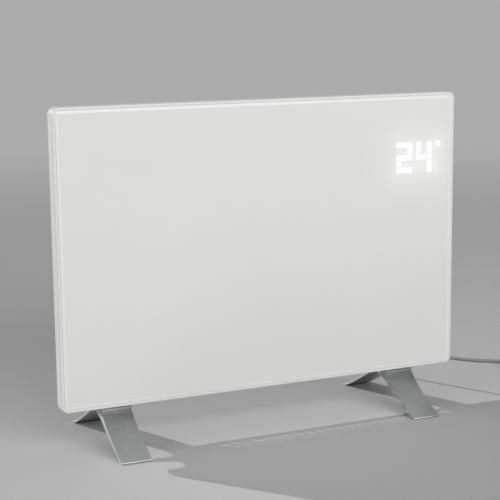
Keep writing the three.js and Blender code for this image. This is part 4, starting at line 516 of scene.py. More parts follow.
def mesh_object(name: str, points: Iterable[Vector], faces: Iterable[Sequence[int]]) -> Piece:
    """A new object from points in millimetres and faces, with outward normals.

    Args:
        name: the object's name.
        points: corners in the part's frame.
        faces: corner numbers of each face.

    Returns:
        The object, linked to the scene, with its origin at the frame's origin.
    """
    mesh = bpy.data.meshes.new(name)
    mesh.from_pydata([tuple(Vector(p) * MM) for p in points], [], [tuple(f) for f in faces])
    work = bmesh.new()
    work.from_mesh(mesh)
    bmesh.ops.remove_doubles(work, verts=work.verts, dist=1e-7)
    bmesh.ops.recalc_face_normals(work, faces=work.faces)
    work.to_mesh(mesh)
    work.free()
    return linked(name, mesh)


def rect_points(
    width: float, height: float, radius: float, u: float = 0, v: float = 0, steps: int = 10
) -> list[Pair]:
    """Points of a round-cornered rectangle about (u, v), anticlockwise.

    Args:
        width: its width.
        height: its height.
        radius: of its corners.
        u: its middle across.
        v: its middle up.
        steps: steps of each corner.

    Returns:
        The points, from the right side on.
    """
    points = []
    radius = max(radius, 0.4)
    for quarter, (side_u, side_v) in enumerate(((1, 1), (-1, 1), (-1, -1), (1, -1))):
        for i in range(steps + 1):
            angle = (quarter + i / steps) * math.pi / 2
            points.append((
                u + side_u * (width / 2 - radius) + radius * math.cos(angle),
                v + side_v * (height / 2 - radius) + radius * math.sin(angle),
            ))
    return points


def upright_ring(
    size: Pair, inset: float, radius: float, middle_z: float, y: float, steps: int = 8
) -> list[Vector]:
    """A round-cornered outline across the depth, about the middle of the part.

    Args:
        size: width and height before the inset.
        inset: how much it is shrunk on each side.
        radius: of its corners before the inset.
        middle_z: height of its middle.
        y: its depth.
        steps: steps of each corner.

    Returns:
        The points.
    """
    width, height = size
    outline = rect_points(width - 2 * inset, height - 2 * inset, radius - inset, 0, middle_z, steps)
    return [Vector((u, y, v)) for u, v in outline]


def arc(middle: Pair, radius: float, start: float, end: float, steps: int) -> list[Pair]:
    """Points of an arc, with angles in degrees."""
    angles = [math.radians(start + (end - start) * i / steps) for i in range(steps + 1)]
    return [(middle[0] + radius * math.cos(a), middle[1] + radius * math.sin(a)) for a in angles]


def quadratic(start: Pair, pull: Pair, end: Pair, steps: int) -> list[Pair]:
    """Points of a quadratic curve after its start.

    Args:
        start: where the curve starts.
        pull: the point that bends it.
        end: where it ends.
        steps: how many points.

    Returns:
        The points, with the end.
    """
    points = []
    for i in range(1, steps + 1):
        t = i / steps
        a, b, c = (1 - t) ** 2, 2 * t * (1 - t), t * t
        points.append((a * start[0] + b * pull[0] + c * end[0], a * start[1] + b * pull[1] + c * end[1]))
    return points


def loft(name: str, rings: Sequence[Sequence[Vector]], closed: bool = False) -> Piece:
    """Skins rings of equal count.

    Args:
        name: the object's name.
        rings: rings of points.
        closed: whether the last ring joins the first; otherwise the ends are capped.

    Returns:
        The closed body.
    """
    count = len(rings[0])
    points = [p for ring in rings for p in ring]
    faces = []
    pairs = len(rings) if closed else len(rings) - 1
    for r in range(pairs):
        a, b = r * count, ((r + 1) % len(rings)) * count
        faces += [(a + i, a + (i + 1) % count, b + (i + 1) % count, b + i) for i in range(count)]
    if not closed:
        faces.append(tuple(reversed(range(count))))
        faces.append(tuple(range(len(points) - count, len(points))))
    return mesh_object(name, points, faces)


def prism(name: str, axis: Axis, outline: Sequence[Pair], start: float, end: float) -> Piece:
    """A prism of an outline along an axis."""
    return loft(name, [[axis.place(u, v, w) for u, v in outline] for w in (start, end)])


def box(name: str, low: Point, high: Point) -> Piece:
    """A cutter between two corners."""
    outline = [(low[0], low[1]), (high[0], low[1]), (high[0], high[1]), (low[0], high[1])]
    return prism(name, Axis.Z, outline, low[2], high[2])


def circle(radius: float, u: float = 0, v: float = 0, count: int = 32) -> list[Pair]:
    """Points of a circle."""
    return arc((u, v), radius, 0, 360 * (count - 1) / count, count - 1)


def lathe(name: str, axis: Axis, profile: Sequence[Pair], middle: Vector, count: int = 40) -> Piece:
    """Turns a profile about an axis.

    Args:
        name: the object's name.
        axis: the axis it turns about.
        profile: [radius, distance] pairs from one end to the other.
        middle: where the axis starts.
        count: sides of the body.

    Returns:
        The turned body, its ends capped.
    """
    rings = []
    for radius, along in profile:
        rings.append([axis.place(u, v, along) + middle for u, v in circle(max(radius, 0.01), count=count)])
    return loft(name, rings)


def applied(piece: Piece) -> Piece:
    """Makes a piece's modifiers part of its mesh.

    Args:
        piece: the piece.

    Returns:
        The piece, with no modifier left.
    """
    bpy.context.view_layer.update()
    graph = bpy.context.evaluated_depsgraph_get()
    mesh = bpy.data.meshes.new_from_object(piece.evaluated_get(graph))
    piece.modifiers.clear()
    piece.data = mesh
    return piece


def cut(piece: Piece, others: Sequence[Piece], operation: str = "DIFFERENCE") -> Piece:
    """Cuts other bodies out of a piece, or joins them to it, and removes them.

    Args:
        piece: the piece.
        others: the bodies that cut or join it.
        operation: DIFFERENCE to cut, UNION to join.

    Returns:
        The piece.
    """
    for other in others:
        change = piece.modifiers.new("cut", "BOOLEAN")
        change.operation = operation
        change.solver = "EXACT"
        change.object = other
    applied(piece)
    for other in others:
        bpy.data.objects.remove(other)
    return piece


def merged(name: str, pieces: Sequence[Piece]) -> Piece:
    """Puts several bare bodies into one object.

    Args:
        name: the new object's name.
        pieces: the bodies, which are removed.

    Returns:
        The new object.
    """
    work = bmesh.new()
    for piece in pieces:
        work.from_mesh(piece.data)
    mesh = bpy.data.meshes.new(name)
    work.to_mesh(mesh)
    work.free()
    for piece in pieces:
        bpy.data.objects.remove(piece)
    return linked(name, mesh)


def soften(piece: Piece, width: float, segments: int = 2, angle: float = 40.0) -> Piece:
    """Breaks a piece's sharp edges by a width.

    Args:
        piece: the piece.
        width: of the broken edge.
        segments: steps across it.
        angle: corners above it are broken, in degrees.

    Returns:
        The piece, with the change not yet applied.
    """
    change = piece.modifiers.new("broken_edges", "BEVEL")
    change.width = width * MM
    change.segments = segments
    change.limit_method = "ANGLE"
    change.angle_limit = math.radians(angle)
    change.harden_normals = True
    return piece


def smooth(piece: Piece, angle: float = 32.0) -> Piece:
    """Shades a piece smooth except at corners above an angle.

    Args:
        piece: the piece.
        angle: corners above it stay sharp, in degrees.

    Returns:
        The piece.
    """
    piece.data.shade_smooth()
    piece.data.set_sharp_from_angle(angle=math.radians(angle))
    return piece


def evened(piece: Piece) -> Piece:
    """Keeps large flat faces evenly shaded up to the roundings beside them.

    Args:
        piece: the piece.

    Returns:
        The piece.
    """
    change = piece.modifiers.new("even_faces", "WEIGHTED_NORMAL")
    change.mode = "FACE_AREA"
    change.weight = 100
    change.keep_sharp = True
    return applied(piece)


def dress(piece: Piece, *finishes: Finish) -> Piece:
    """Gives a piece its finishes, in slot order.

    Args:
        piece: the piece.
        finishes: its finishes.

    Returns:
        The piece.
    """
    piece.data.materials.clear()
    for finish in finishes:
        piece.data.materials.append(finish.material())
    return piece


def stands_for(piece: Piece, *nodes: str, body: str = "root") -> Piece:
    """Lets a piece ride on a body in place of CAD nodes.

    Args:
        piece: the piece.
        nodes: the CAD nodes that it replaces.
        body: the body that it rides on.

    Returns:
        The piece.
    """
    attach(piece, body)
    if nodes:
        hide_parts(*nodes)
    count = len(piece.data.polygons) if piece.type == "MESH" else 0
    LOG.info("%s rides on %s, for %s, %d faces", piece.name, body, ", ".join(nodes) or "itself", count)
    return piece


# ---------------------------------------------------------------------------------------------------------
# Studio
# ---------------------------------------------------------------------------------------------------------


@dataclass
class Studio:
    """Camera, lamps, world and floor."""

    eye_m: Point = (-0.971, -2.1065, 0.713)
    yaw: float = 24.56
    pitch: float = -9.99
    roll: float = -0.61
    focal_px: float = 1358.0
    image_px: float = 500.0
    sun_travel: Point = (0.5766, -0.7376, -0.3524)
    sun_power: float = 2.7
    sun_angle: float = 0.9
    fill_power: float = 200.0
    fill_place: Point = (0.8, -4.4, 2.2)
    fill_size: Pair = (5.2, 2.2)
    side_power: float = 26.0
    side_place: Point = (-4.0, -0.6, 1.6)
    side_size: Pair = (2.4, 2.0)
    lit_point: Point = (0.0, 0.0, 0.3)
    sky_diffuse: float = 0.13
    sensor_mm: float = 36.0
    view_m: float = 200.0
    floor_radius: float = 60000.0
    floor_depth: float = 20.0

    def build(self) -> None:
        """Makes them all."""
        self.camera()
        self.lamps()
        self.world()
        self.floor()

    def camera(self) -> None:
        """The camera, from the angle, height and distance of the photograph."""
        yaw, pitch, roll = (math.radians(a) for a in (self.yaw, self.pitch, self.roll))
        ahead = Vector((math.sin(yaw) * math.cos(pitch), math.cos(yaw) * math.cos(pitch), math.sin(pitch)))
        right = Vector((math.cos(yaw), -math.sin(yaw), 0))
        up = right.cross(ahead)
        camera_x = right * math.cos(roll) + up * math.sin(roll)
        camera_y = up * math.cos(roll) - right * math.sin(roll)
        data = bpy.data.cameras.new("camera")
        data.sensor_fit = "HORIZONTAL"
        data.sensor_width = self.sensor_mm
        data.lens = self.focal_px / self.image_px * data.sensor_width
        data.clip_end = self.view_m
        made = linked("camera", data)
        turn = Matrix((camera_x, camera_y, -ahead)).transposed().to_4x4()
        made.matrix_world = Matrix.Translation(Vector(self.eye_m)) @ turn
        bpy.context.scene.camera = made

    def lamps(self) -> None:
        """A low key lamp from behind on the left, and soft lamps in front and on the left."""
        sun = bpy.data.lights.new("key", "SUN")
        sun.energy = self.sun_power
        sun.angle = math.radians(self.sun_angle)
        self.aim("key", sun, Vector((0, 0, 3)), Vector(self.sun_travel))
        self.softbox("front_softbox", self.fill_place, self.fill_size, self.fill_power)
        self.softbox("side_softbox", self.side_place, self.side_size, self.side_power)

    def softbox(self, name: str, place: Point, size: Pair, power: float) -> None:
        """Adds a wide soft lamp that points at the heater.

        Args:
            name: the lamp's name.
            place: where it stands, in metres.
            size: its width and height, in metres.
            power: its power in watts.
        """
        lamp = bpy.data.lights.new(name, "AREA")
        lamp.shape = "RECTANGLE"
        lamp.size, lamp.size_y = size
        lamp.energy = power
        self.aim(name, lamp, Vector(place), Vector(self.lit_point) - Vector(place))

    def aim(self, name: str, data: bpy.types.Light, place: Vector, direction: Vector) -> None:
        """Adds a lamp at a place, pointing in a direction.

        Args:
            name: the lamp's name.
            data: the lamp.
            place: where it stands, in metres.
            direction: where it points.
        """
        lamp = linked(name, data)
        lamp.location = place
        lamp.rotation_euler = direction.to_track_quat("-Z", "Y").to_euler()

    def world(self) -> None:
        """Even light from all round, with a pale background for the camera, gloss and glass."""
        world = bpy.data.worlds.new("studio")
        world.use_nodes = True
        tree = world.node_tree
        shown = {"Value": seen_directly(tree), "To Min": self.sky_diffuse, "To Max": FLOOR.backdrop}
        level = add_node(tree, "MapRange", shown)
        background = tree.nodes["Background"]
        background.inputs["Color"].default_value = WHITE
        tree.links.new(level.outputs["Result"], background.inputs["Strength"])
        bpy.context.scene.world = world
        bpy.context.scene.view_settings.view_transform = "Standard"

    def floor(self) -> None:
        """The floor, a wide disc with its top at zero."""
        edge = circle(self.floor_radius, count=96)
        rings = [[Vector((u, v, z)) for u, v in edge] for z in (-self.floor_depth, 0.0)]
        plate = dress(loft("studio_floor", rings), FLOOR)


# ---------------------------------------------------------------------------------------------------------
# Mains lead
# ---------------------------------------------------------------------------------------------------------


@dataclass
class MainsLead:
    """The free lead with its strain relief, its coil and its plug."""

    radius: float = 3.2
    lie_z: float = 3.4
    exit: Point = LEAD_EXIT
    route: tuple[Point, ...] = (
        LEAD_EXIT, (300.0, 111.0, 123.0), (300.5, 122.0, 122.0), (302.5, 136.0, 115.5),
        (306.0, 149.0, 102.0), (311.0, 161.0, 83.0), (318.0, 174.0, 59.0), (327.0, 188.0, 35.0),
        (339.0, 203.0, 16.0), (356.0, 219.0, 5.8), (378.0, 233.0, 3.4), (404.0, 244.0, 3.4),
        (432.0, 250.0, 3.4), (462.0, 250.0, 3.4), (490.0, 243.0, 3.4), (512.0, 230.0, 3.4),
        (527.0, 212.0, 3.4), (538.0, 194.0, 3.4), (551.0, 176.0, 3.4), (569.0, 157.5, 3.4),
        (589.0, 142.0, 3.4), (609.0, 127.3, 3.4), (629.0, 112.5, 3.4),
    )
    approach: float = 31.0
    coil_radius: float = 42.7
    coil_step: float = 7.0
    coil_turns: float = 4.25
    steps_per_turn: int = 24
    lead_out: float = 46.0
    lead_out_points: int = 11
    plug_axis_z: float = 18.7
    length_m: float = 1.543
    heading: float = math.atan2(-14.8, 20.0)
    flange: float = 3.0
    rib_count: int = 6
    rib_room: float = 35.0
    rib_radii: Pair = (6.8, 4.9)
    plug_length: float = 66.0
    plug_ribs: int = 4
    plug_rib_pitch: float = 5.6
    grip_half: float = 13.3
    grip_span: Pair = (32.0, 57.0)
    pin_seat: float = 61.0
    pin_y: float = 9.5

    def build(self) -> None:
        """Makes the lead with its plug and strain relief."""
        points = self.centre_line()
        lead = self.sheath(points)
        dress(lead, LEAD_SHEATH)
        stands_for(lead, "power_cord", "cord_coil")
        plug = self.plug(points[-1])
        relief = self.strain_relief()
        LOG.info("lead: %d points, strain relief %s", len(points), relief.name)

    def centre_line(self) -> list[Vector]:
        """The route, the coil and the run out to the plug.

        Returns:
            Points from the exit to the plug.
        """
        points = [Vector(p) for p in self.route]
        start = self.ahead(points[-1], self.heading, self.approach)
        middle = self.ahead(start, self.heading - math.pi / 2, self.coil_radius)
        points.append(self.ahead(start, self.heading, -2 * self.radius))
        points.append(start)
        steps = round(self.coil_turns * self.steps_per_turn)
        for i in range(1, steps + 1):
            turns = i / steps * self.coil_turns
            half = self.coil_turns / 2
            radius = self.coil_radius - self.coil_step * (half - abs(turns - half))
            place = self.ahead(middle, self.heading + math.pi / 2 - turns * 2 * math.pi, radius)
            place.z = self.lie_z + self.coil_step * self.ease(turns, half - 0.25, half + 0.25)
            points.append(place)
        last = points[-1].copy()
        for i in range(1, self.lead_out_points + 1):
            distance = self.lead_out * i / self.lead_out_points
            place = self.ahead(last, self.exit_heading, distance)
            rise = self.ease(distance, self.radius, self.lead_out - 2 * self.radius)
            place.z = last.z + (self.plug_axis_z - last.z) * rise
            points.append(place)
        return points

    @property
    def exit_heading(self) -> float:
        """Heading of the lead as it leaves the coil."""
        return self.heading - self.coil_turns * 2 * math.pi

    @staticmethod
    def ease(value: float, low: float, high: float) -> float:
        """A smooth step from 0 to 1."""
        t = min(max((value - low) / (high - low), 0.0), 1.0)
        return t * t * (3 - 2 * t)

    @staticmethod
    def ahead(point: Vector, heading: float, distance: float) -> Vector:
        """A point moved level along a heading."""
        return point + Vector((math.cos(heading) * distance, math.sin(heading) * distance, 0))

    def sheath(self, points: Sequence[Vector]) -> Piece:
        """The round sheath as one curve through the points.

        Args:
            points: the points that it follows.

        Returns:
            The curve.
        """
        data = bpy.data.curves.new("mains_lead", "CURVE")
        data.dimensions = "3D"
        data.bevel_depth = self.radius * MM
        data.bevel_resolution = 6
        data.resolution_u = 6
        data.use_fill_caps = True
        spline = data.splines.new("BEZIER")
        spline.bezier_points.add(len(points) - 1)
        for knot, point in zip(spline.bezier_points, points):
            knot.co = point * MM
            knot.handle_left_type = knot.handle_right_type = "AUTO"
        return linked("mains_lead", data)

    def strain_relief(self) -> Piece:
        """Moulded sleeve: a flange on the housing and a ribbed taper.

        Returns:
            The sleeve.
        """
        profile: list[Pair] = [(0, -11), (6, -11), (6, 0.3), (9.6, 0.3), (10, 0.8), (10, 2.4)]
        profile.append((9.4, self.flange))
        pitch = self.rib_room / (self.rib_count + 0.5)
        first, last = self.rib_radii
        for i in range(self.rib_count):
            radius = first + (last - first) * i / (self.rib_count - 1)
            start = self.flange + i * pitch
            profile += [(radius - 1.2, start + 0.3), (radius - 1.2, start + pitch * 0.35)]
            profile += [(radius - 0.25, start + pitch * 0.47), (radius, start + pitch * 0.6)]
            profile += [(radius, start + pitch * 0.86), (radius - 0.3, start + pitch * 0.98)]
        profile += [(4.3, 37), (4.1, 37.8), (3.6, 38), (0, 38)]
        foot = Vector((self.exit[0], HOUSING_BACK_Y, self.exit[2]))
        made = lathe("strain_relief_sleeve", Axis.Y, profile, foot)
        dress(smooth(made, 40), BLACK_PLASTIC)
        return stands_for(made, "strain_relief")

    def plug(self, tail: Vector) -> list[Piece]:
        """Moulded two-pin plug: a ribbed tail, a round body with two grip flats, and nickel pins.

        Args:
            tail: where the lead ends.

        Returns:
            The moulding and its two pins.
        """
        profile: list[Pair] = [(0, 0), (4.7, 0), (5.2, 0.6)]
        for i in range(self.plug_ribs):
            start = 1.5 + i * self.plug_rib_pitch
            radius = 5.4 + i * 0.35
            profile += [(radius, start), (radius + 0.2, start + 3.2)]
            profile += [(radius - 0.9, start + 3.8), (radius - 0.9, start + 5.0)]
        profile += [(6.7, 24), (9, 25.2), (11.5, 28), (13.4, 33), (15, 38)]
        profile += [(16.6, 42.5), (17.9, 46), (18.4, 49)]
        profile += [(18.5, 52), (18.5, 63.5), (18.1, 65.1), (17.2, 65.8)]
        profile += [(16.4, self.plug_length), (0, self.plug_length)]
        body = lathe("plug_moulding", Axis.X, profile, Vector(), 56)
        flats = []
        grip_start, grip_end = self.grip_span
        reach = 30.0
        for side in (-1, 1):
            low, high = sorted((side * self.grip_half, side * reach))
            flats.append(box("flat", (grip_start, low, -reach), (grip_end, high, reach)))
        pins_y = (-self.pin_y, self.pin_y)
        socket_end = self.plug_length + 2
        sockets = [prism("socket", Axis.X, circle(2.7, y, 0, 20), self.pin_seat, socket_end) for y in pins_y]
        cut(body, flats + sockets)
        soften(body, 0.8, 3, 35)
        dress(smooth(applied(body), 35), LEAD_SHEATH)
        pieces = [body]
        for number, y in enumerate(pins_y, 1):
            pin = [(0, 0), (2.4, 0), (2.4, 21.3), (2.2, 22.6), (1.6, 23.4), (0.8, 23.7), (0, 23.7)]
            made = lathe(f"plug_nickel_pin_{number}", Axis.X, pin, Vector((self.pin_seat + GAP, y, 0)), 24)
            pieces.append(dress(smooth(made, 35), NICKEL))
        place = self.ahead(tail, self.exit_heading, GAP)
        turn = Matrix.Translation(place * MM) @ Matrix.Rotation(self.exit_heading, 4, "Z")
        for piece, node in zip(pieces, ("plug_body", "plug_pin_1", "plug_pin_2")):
            piece.data.transform(turn)
            stands_for(piece, node)
        return pieces


# ---------------------------------------------------------------------------------------------------------
# Front panel
# ---------------------------------------------------------------------------------------------------------


def panel_ring(inset: float, y: float) -> list[Vector]:
    """The panel's outline, shrunk by an inset, at a depth behind the face of the glass."""
    size = (PANEL_WIDTH, PANEL_HEIGHT)
    return upright_ring(size, inset, PANEL_CORNER_R, PANEL_MID_Z, GLASS_FACE_Y + y, 12)


@dataclass
class FrontPanel:
    """Glass sheet with a polished bevel, in a moulded frame with a rounded rim."""

    thickness: float = 4.0
    bevel: float = 5.0
    bevel_drop: float = 0.6
    bevel_tilt: Pair = (0.97, 0.9999)
    setback: float = 0.5
    rim_radius: float = 2.4
    rear_radius: float = 1.5
    depth: float = 25.0
    wall: float = 3.0
    ledge: float = 9.0
    ledge_front: float = 5.4
    ledge_thick: float = 3.0

    def build(self) -> None:
        """Makes the glass and the frame."""
        self.glass()
        self.rim()

    def glass(self) -> None:
        """The sheet: face, bevel, a ground edge with broken arrises, and its back."""
        edge, drop = FRAME_RIM + GAP, self.bevel_drop
        sections = [
            (edge + self.bevel + 0.25, 0.0), (edge + self.bevel, 0.012), (edge + 0.35, drop - 0.04),
            (edge + 0.1, drop + 0.02), (edge, drop + 0.25), (edge, self.thickness - 0.4),
            (edge + 0.4, self.thickness),
        ]
        made = loft("glass_sheet", [panel_ring(inset, y) for inset, y in sections])
        # The bevel's faces get a finish painted a shade lighter than the face's: a painted highlight.
        dress(smooth(made, 4), GLASS, GLASS_BEVEL_PAINTED_LIGHTER)
        steep, flat = self.bevel_tilt
        for face in made.data.polygons:
            face.material_index = 1 if steep < abs(face.normal.y) < flat else 0
        stands_for(made, "front_glass")

    def rim(self) -> None:
        """The frame's section, swept round the panel."""
        middle = (self.rim_radius, self.setback + self.rim_radius)
        section = [(middle[0] - r, middle[1] - d) for r, d in self.quarter(self.rim_radius, 9)]
        front = list(reversed(section))
        r_back = self.rear_radius
        rear = [(r_back - r, self.depth - r_back + d) for r, d in self.quarter(r_back, 4)]
        ledge_back, ledge_edge = self.ledge_front + self.ledge_thick, FRAME_RIM + GAP + self.ledge
        inside = [
            (self.wall, self.depth - 0.3), (self.wall, ledge_back), (ledge_edge, ledge_back),
            (ledge_edge, self.ledge_front), (FRAME_RIM, self.ledge_front), (FRAME_RIM, self.setback + 0.35),
        ]
        rings = [panel_ring(inset, y) for inset, y in front + rear + inside]
        made = loft("frame_ring", rings, closed=True)
        dress(smooth(made, 35), FRAME_WHITE)
        stands_for(made, "front_frame")

    @staticmethod
    def quarter(radius: float, steps: int) -> list[Pair]:
        """Offsets (towards the side, along the depth) of a quarter round, from the side to the end."""
        turns = [math.pi / 2 * i / steps for i in range(steps + 1)]
        return [(radius * math.cos(t), radius * math.sin(t)) for t in turns]


@dataclass
class Display:
    """Lit cells of the temperature display: two digits and the degree mark."""

    cell: float = 9.3
    pitch: float = 11.2
    corner: float = 0.9
    left: float = 251.15
    second_left: float = 291.35
    degree_left: float = 331.55
    top: float = 482.25
    proud: float = 0.04
    sunk: float = 0.2
    digits: tuple[tuple[str, ...], ...] = (
        ("111", "001", "111", "100", "111"),
        ("101", "101", "111", "001", "001"),
    )

    def build(self) -> None:
        """Makes one thin tile for each lit cell."""
        tiles = []
        for digit, left in zip(self.digits, (self.left, self.second_left)):
            for row, line in enumerate(digit):
                for column, lit in enumerate(line):
                    if lit == "1":
                        tiles.append(self.tile(left + column * self.pitch, self.top - row * self.pitch))
        tiles.append(self.tile(self.degree_left, self.top))
        made = merged("display_lit_cells", tiles)
        dress(made, CELL_LIGHT)
        stands_for(made)

    def tile(self, left: float, top: float) -> Piece:
        """A lit window in the glass, with round corners."""
        outline = rect_points(self.cell, self.cell, self.corner, left + self.cell / 2, top - self.cell / 2, 4)
        return prism("tile", Axis.Y, outline, GLASS_FACE_Y - self.proud, GLASS_FACE_Y + self.sunk)


# ---------------------------------------------------------------------------------------------------------
# Rear housing
# ---------------------------------------------------------------------------------------------------------


@dataclass
class RearHousing:
    """Pressed steel tray with a flange, a raised field, windows, keyholes and a row of slots."""

    bottom_z: float = 73.0
    corner: float = 14.0
    back_radius: float = 6.0
    flange: float = 10.0
    field_size: Pair = (470.0, 244.0)
    field_middle_z: float = 276.0
    field_corner: float = 14.0
    field_rise: float = 2.0
    inlet_y: float = 33.5
    slot_pitch: float = 19.6
    slot_count: int = 26
    slot_size: Pair = (9.0, 15.0)
    slot_corner: float = 4.2
    slot_rise: float = 14.5
    outlet_half: Pair = (300.3, 29.3)
    inlet_half: Pair = (263.0, 20.0)
    rocker_half_y: float = 11.1
    rocker_z: Pair = (217.7, 248.3)
    gland_radius: float = 6.3
    keyhole_x: float = 200.0
    keyhole_slot_z: float = 497.0
    keyhole_slot_r: float = 3.5
    keyhole_mouth_z: float = 483.0
    keyhole_mouth_r: float = 6.5
    keyhole_meet_z: float = 488.5
    keyhole_meet_angle: float = 32.6
    screw_x: float = 341.0
    screw_heights: Point = (121.5, 313.5, 505.5)
    screw_radius: float = 1.9
    past: float = 3.0  # how far a cutter reaches past the sheet

    @property
    def size(self) -> Pair:
        """Width and height of the tray."""
        return 2 * HOUSING_SIDE, HOUSING_TOP_Z - self.bottom_z

    @property
    def middle_z(self) -> float:
        """Height of the tray's middle."""
        return (HOUSING_TOP_Z + self.bottom_z) / 2

    def build(self) -> None:
        """Makes the tray and cuts its windows."""
        tray = self.tray()
        cut(tray, self.windows())
        dress(evened(smooth(tray, 30)), POWDER_WHITE)
        stands_for(tray, "rear_housing")

    def ring(self, inset: float, y: float) -> list[Vector]:
        """The tray's outline shrunk by an inset."""
        return upright_ring(self.size, inset, self.corner, self.middle_z, y)

    def field_ring(self, inset: float, y: float) -> list[Vector]:
        """The raised field's outline shrunk by an inset."""
        return upright_ring(self.field_size, inset, self.field_corner, self.field_middle_z, y)

    def flanged(self, y: float, inset: float) -> list[Vector]:
        """A ring of the tray; the flange stands out at the sides only.

        Args:
            y: its depth.
            inset: how much it is shrunk, or below zero the flange.

        Returns:
            The points.
        """
        if inset >= 0:
            return self.ring(inset, y)
        width, height = self.size
        return upright_ring((width - 2 * inset, height), 0.0, self.corner, self.middle_z, y)

    def tray(self) -> Piece:
        """The shell: outside, field, and the same inside, one sheet apart.

        Returns:
            The tray, without its windows.
        """
        front, back, r = HOUSING_FRONT_Y, HOUSING_BACK_Y, self.back_radius
        outer = [(front, -self.flange), (front + SHEET, -self.flange)]
        outer += [(front + SHEET, -0.8), (front + SHEET + 0.25, -0.2), (front + 2, 0.0)]
        rounding = len(outer)
        turns = [math.pi / 2 * i / 8 for i in range(9)]
        outer += [(back - r + r * math.sin(t), r - r * math.cos(t)) for t in turns]
        inner = [(inset + SHEET, y - SHEET) for y, inset in outer[rounding:]]
        shell = loft("rear_housing_tray", [self.flanged(y, inset) for y, inset in outer])
        hollow = loft("hollow", [self.ring(inset, y) for inset, y in [(SHEET, front - 5)] + inner])
        top = back + self.field_rise
        face = [(0, back - 0.5), (0, back), (0.8, back + 0.25), (3.2, top - 0.25), (4, top)]
        raised = loft("field", [self.field_ring(inset, y) for inset, y in face])
        underside = [(1, back - 3), (1, back - 1), (5, top - SHEET)]
        sunk = loft("field_hollow", [self.field_ring(inset, y) for inset, y in underside])
        cut(shell, [raised], "UNION")
        return cut(shell, [hollow, sunk])

    def keyhole(self, x: float) -> list[Pair]:
        """Outline of a keyhole about x: a round mouth with a slot above it.

        Args:
            x: its middle across.

        Returns:
            The points, anticlockwise.
        """
        half, meet_z, angle = self.keyhole_slot_r, self.keyhole_meet_z, self.keyhole_meet_angle
        slot = arc((x, self.keyhole_slot_z), half, 0, 180, 12)
        mouth = arc((x, self.keyhole_mouth_z), self.keyhole_mouth_r, 180 - angle, 360 + angle, 28)
        return [(x + half, meet_z), *slot, (x - half, meet_z), *mouth]

    def windows(self) -> list[Piece]:
        """Cutters for every window and hole.

        Returns:
            The cutters.
        """
        top, low, back, past = HOUSING_TOP_Z, self.bottom_z, HOUSING_BACK_Y, self.past
        out_x, out_y = self.outlet_half
        in_x, in_y = self.inlet_half
        key_y = self.rocker_half_y
        key_low, key_high = self.rocker_z
        gland = circle(self.gland_radius, LEAD_EXIT[0], LEAD_EXIT[2], 24)
        cutters = [
            box("outlet", (-out_x, DUCT_Y - out_y, top - past), (out_x, DUCT_Y + out_y, top + past)),
            box("inlet", (-in_x, self.inlet_y - in_y, low - past), (in_x, self.inlet_y + in_y, low + past)),
            box(
                "rocker", (HOUSING_SIDE - past, DUCT_Y - key_y, key_low),
                (HOUSING_SIDE + past, DUCT_Y + key_y, key_high),
            ),
            prism("gland", Axis.Y, gland, back - past, back + past),
        ]
        for side in (-1, 1):
            keyhole = self.keyhole(self.keyhole_x * side)
            cutters.append(prism("keyhole", Axis.Y, keyhole, back - past, back + past))
            for z in self.screw_heights:
                bore = circle(self.screw_radius, self.screw_x * side, z, 16)
                span = (HOUSING_FRONT_Y - 2 * SHEET, HOUSING_FRONT_Y + past)
                cutters.append(prism("screw", Axis.Y, bore, *span))
            for offset in (-FOOT_SCREW_X, FOOT_SCREW_X):
                bore = circle(FOOT_BORE_R, side * FOOT_X + offset, GLASS_FACE_Y + FOOT_SCREW_DEPTH, 16)
                cutters.append(prism("foot_screw", Axis.Z, bore, low - past, low + past))
        first = -(self.slot_count - 1) / 2 * self.slot_pitch
        width, height = self.slot_size
        for i in range(self.slot_count):
            x, z = first + i * self.slot_pitch, low + self.slot_rise
            slot = rect_points(width, height, self.slot_corner, x, z, 5)
            cutters.append(prism("slot", Axis.Y, slot, back - past, back + past))
        return cutters


# ---------------------------------------------------------------------------------------------------------
# Feet
# ---------------------------------------------------------------------------------------------------------


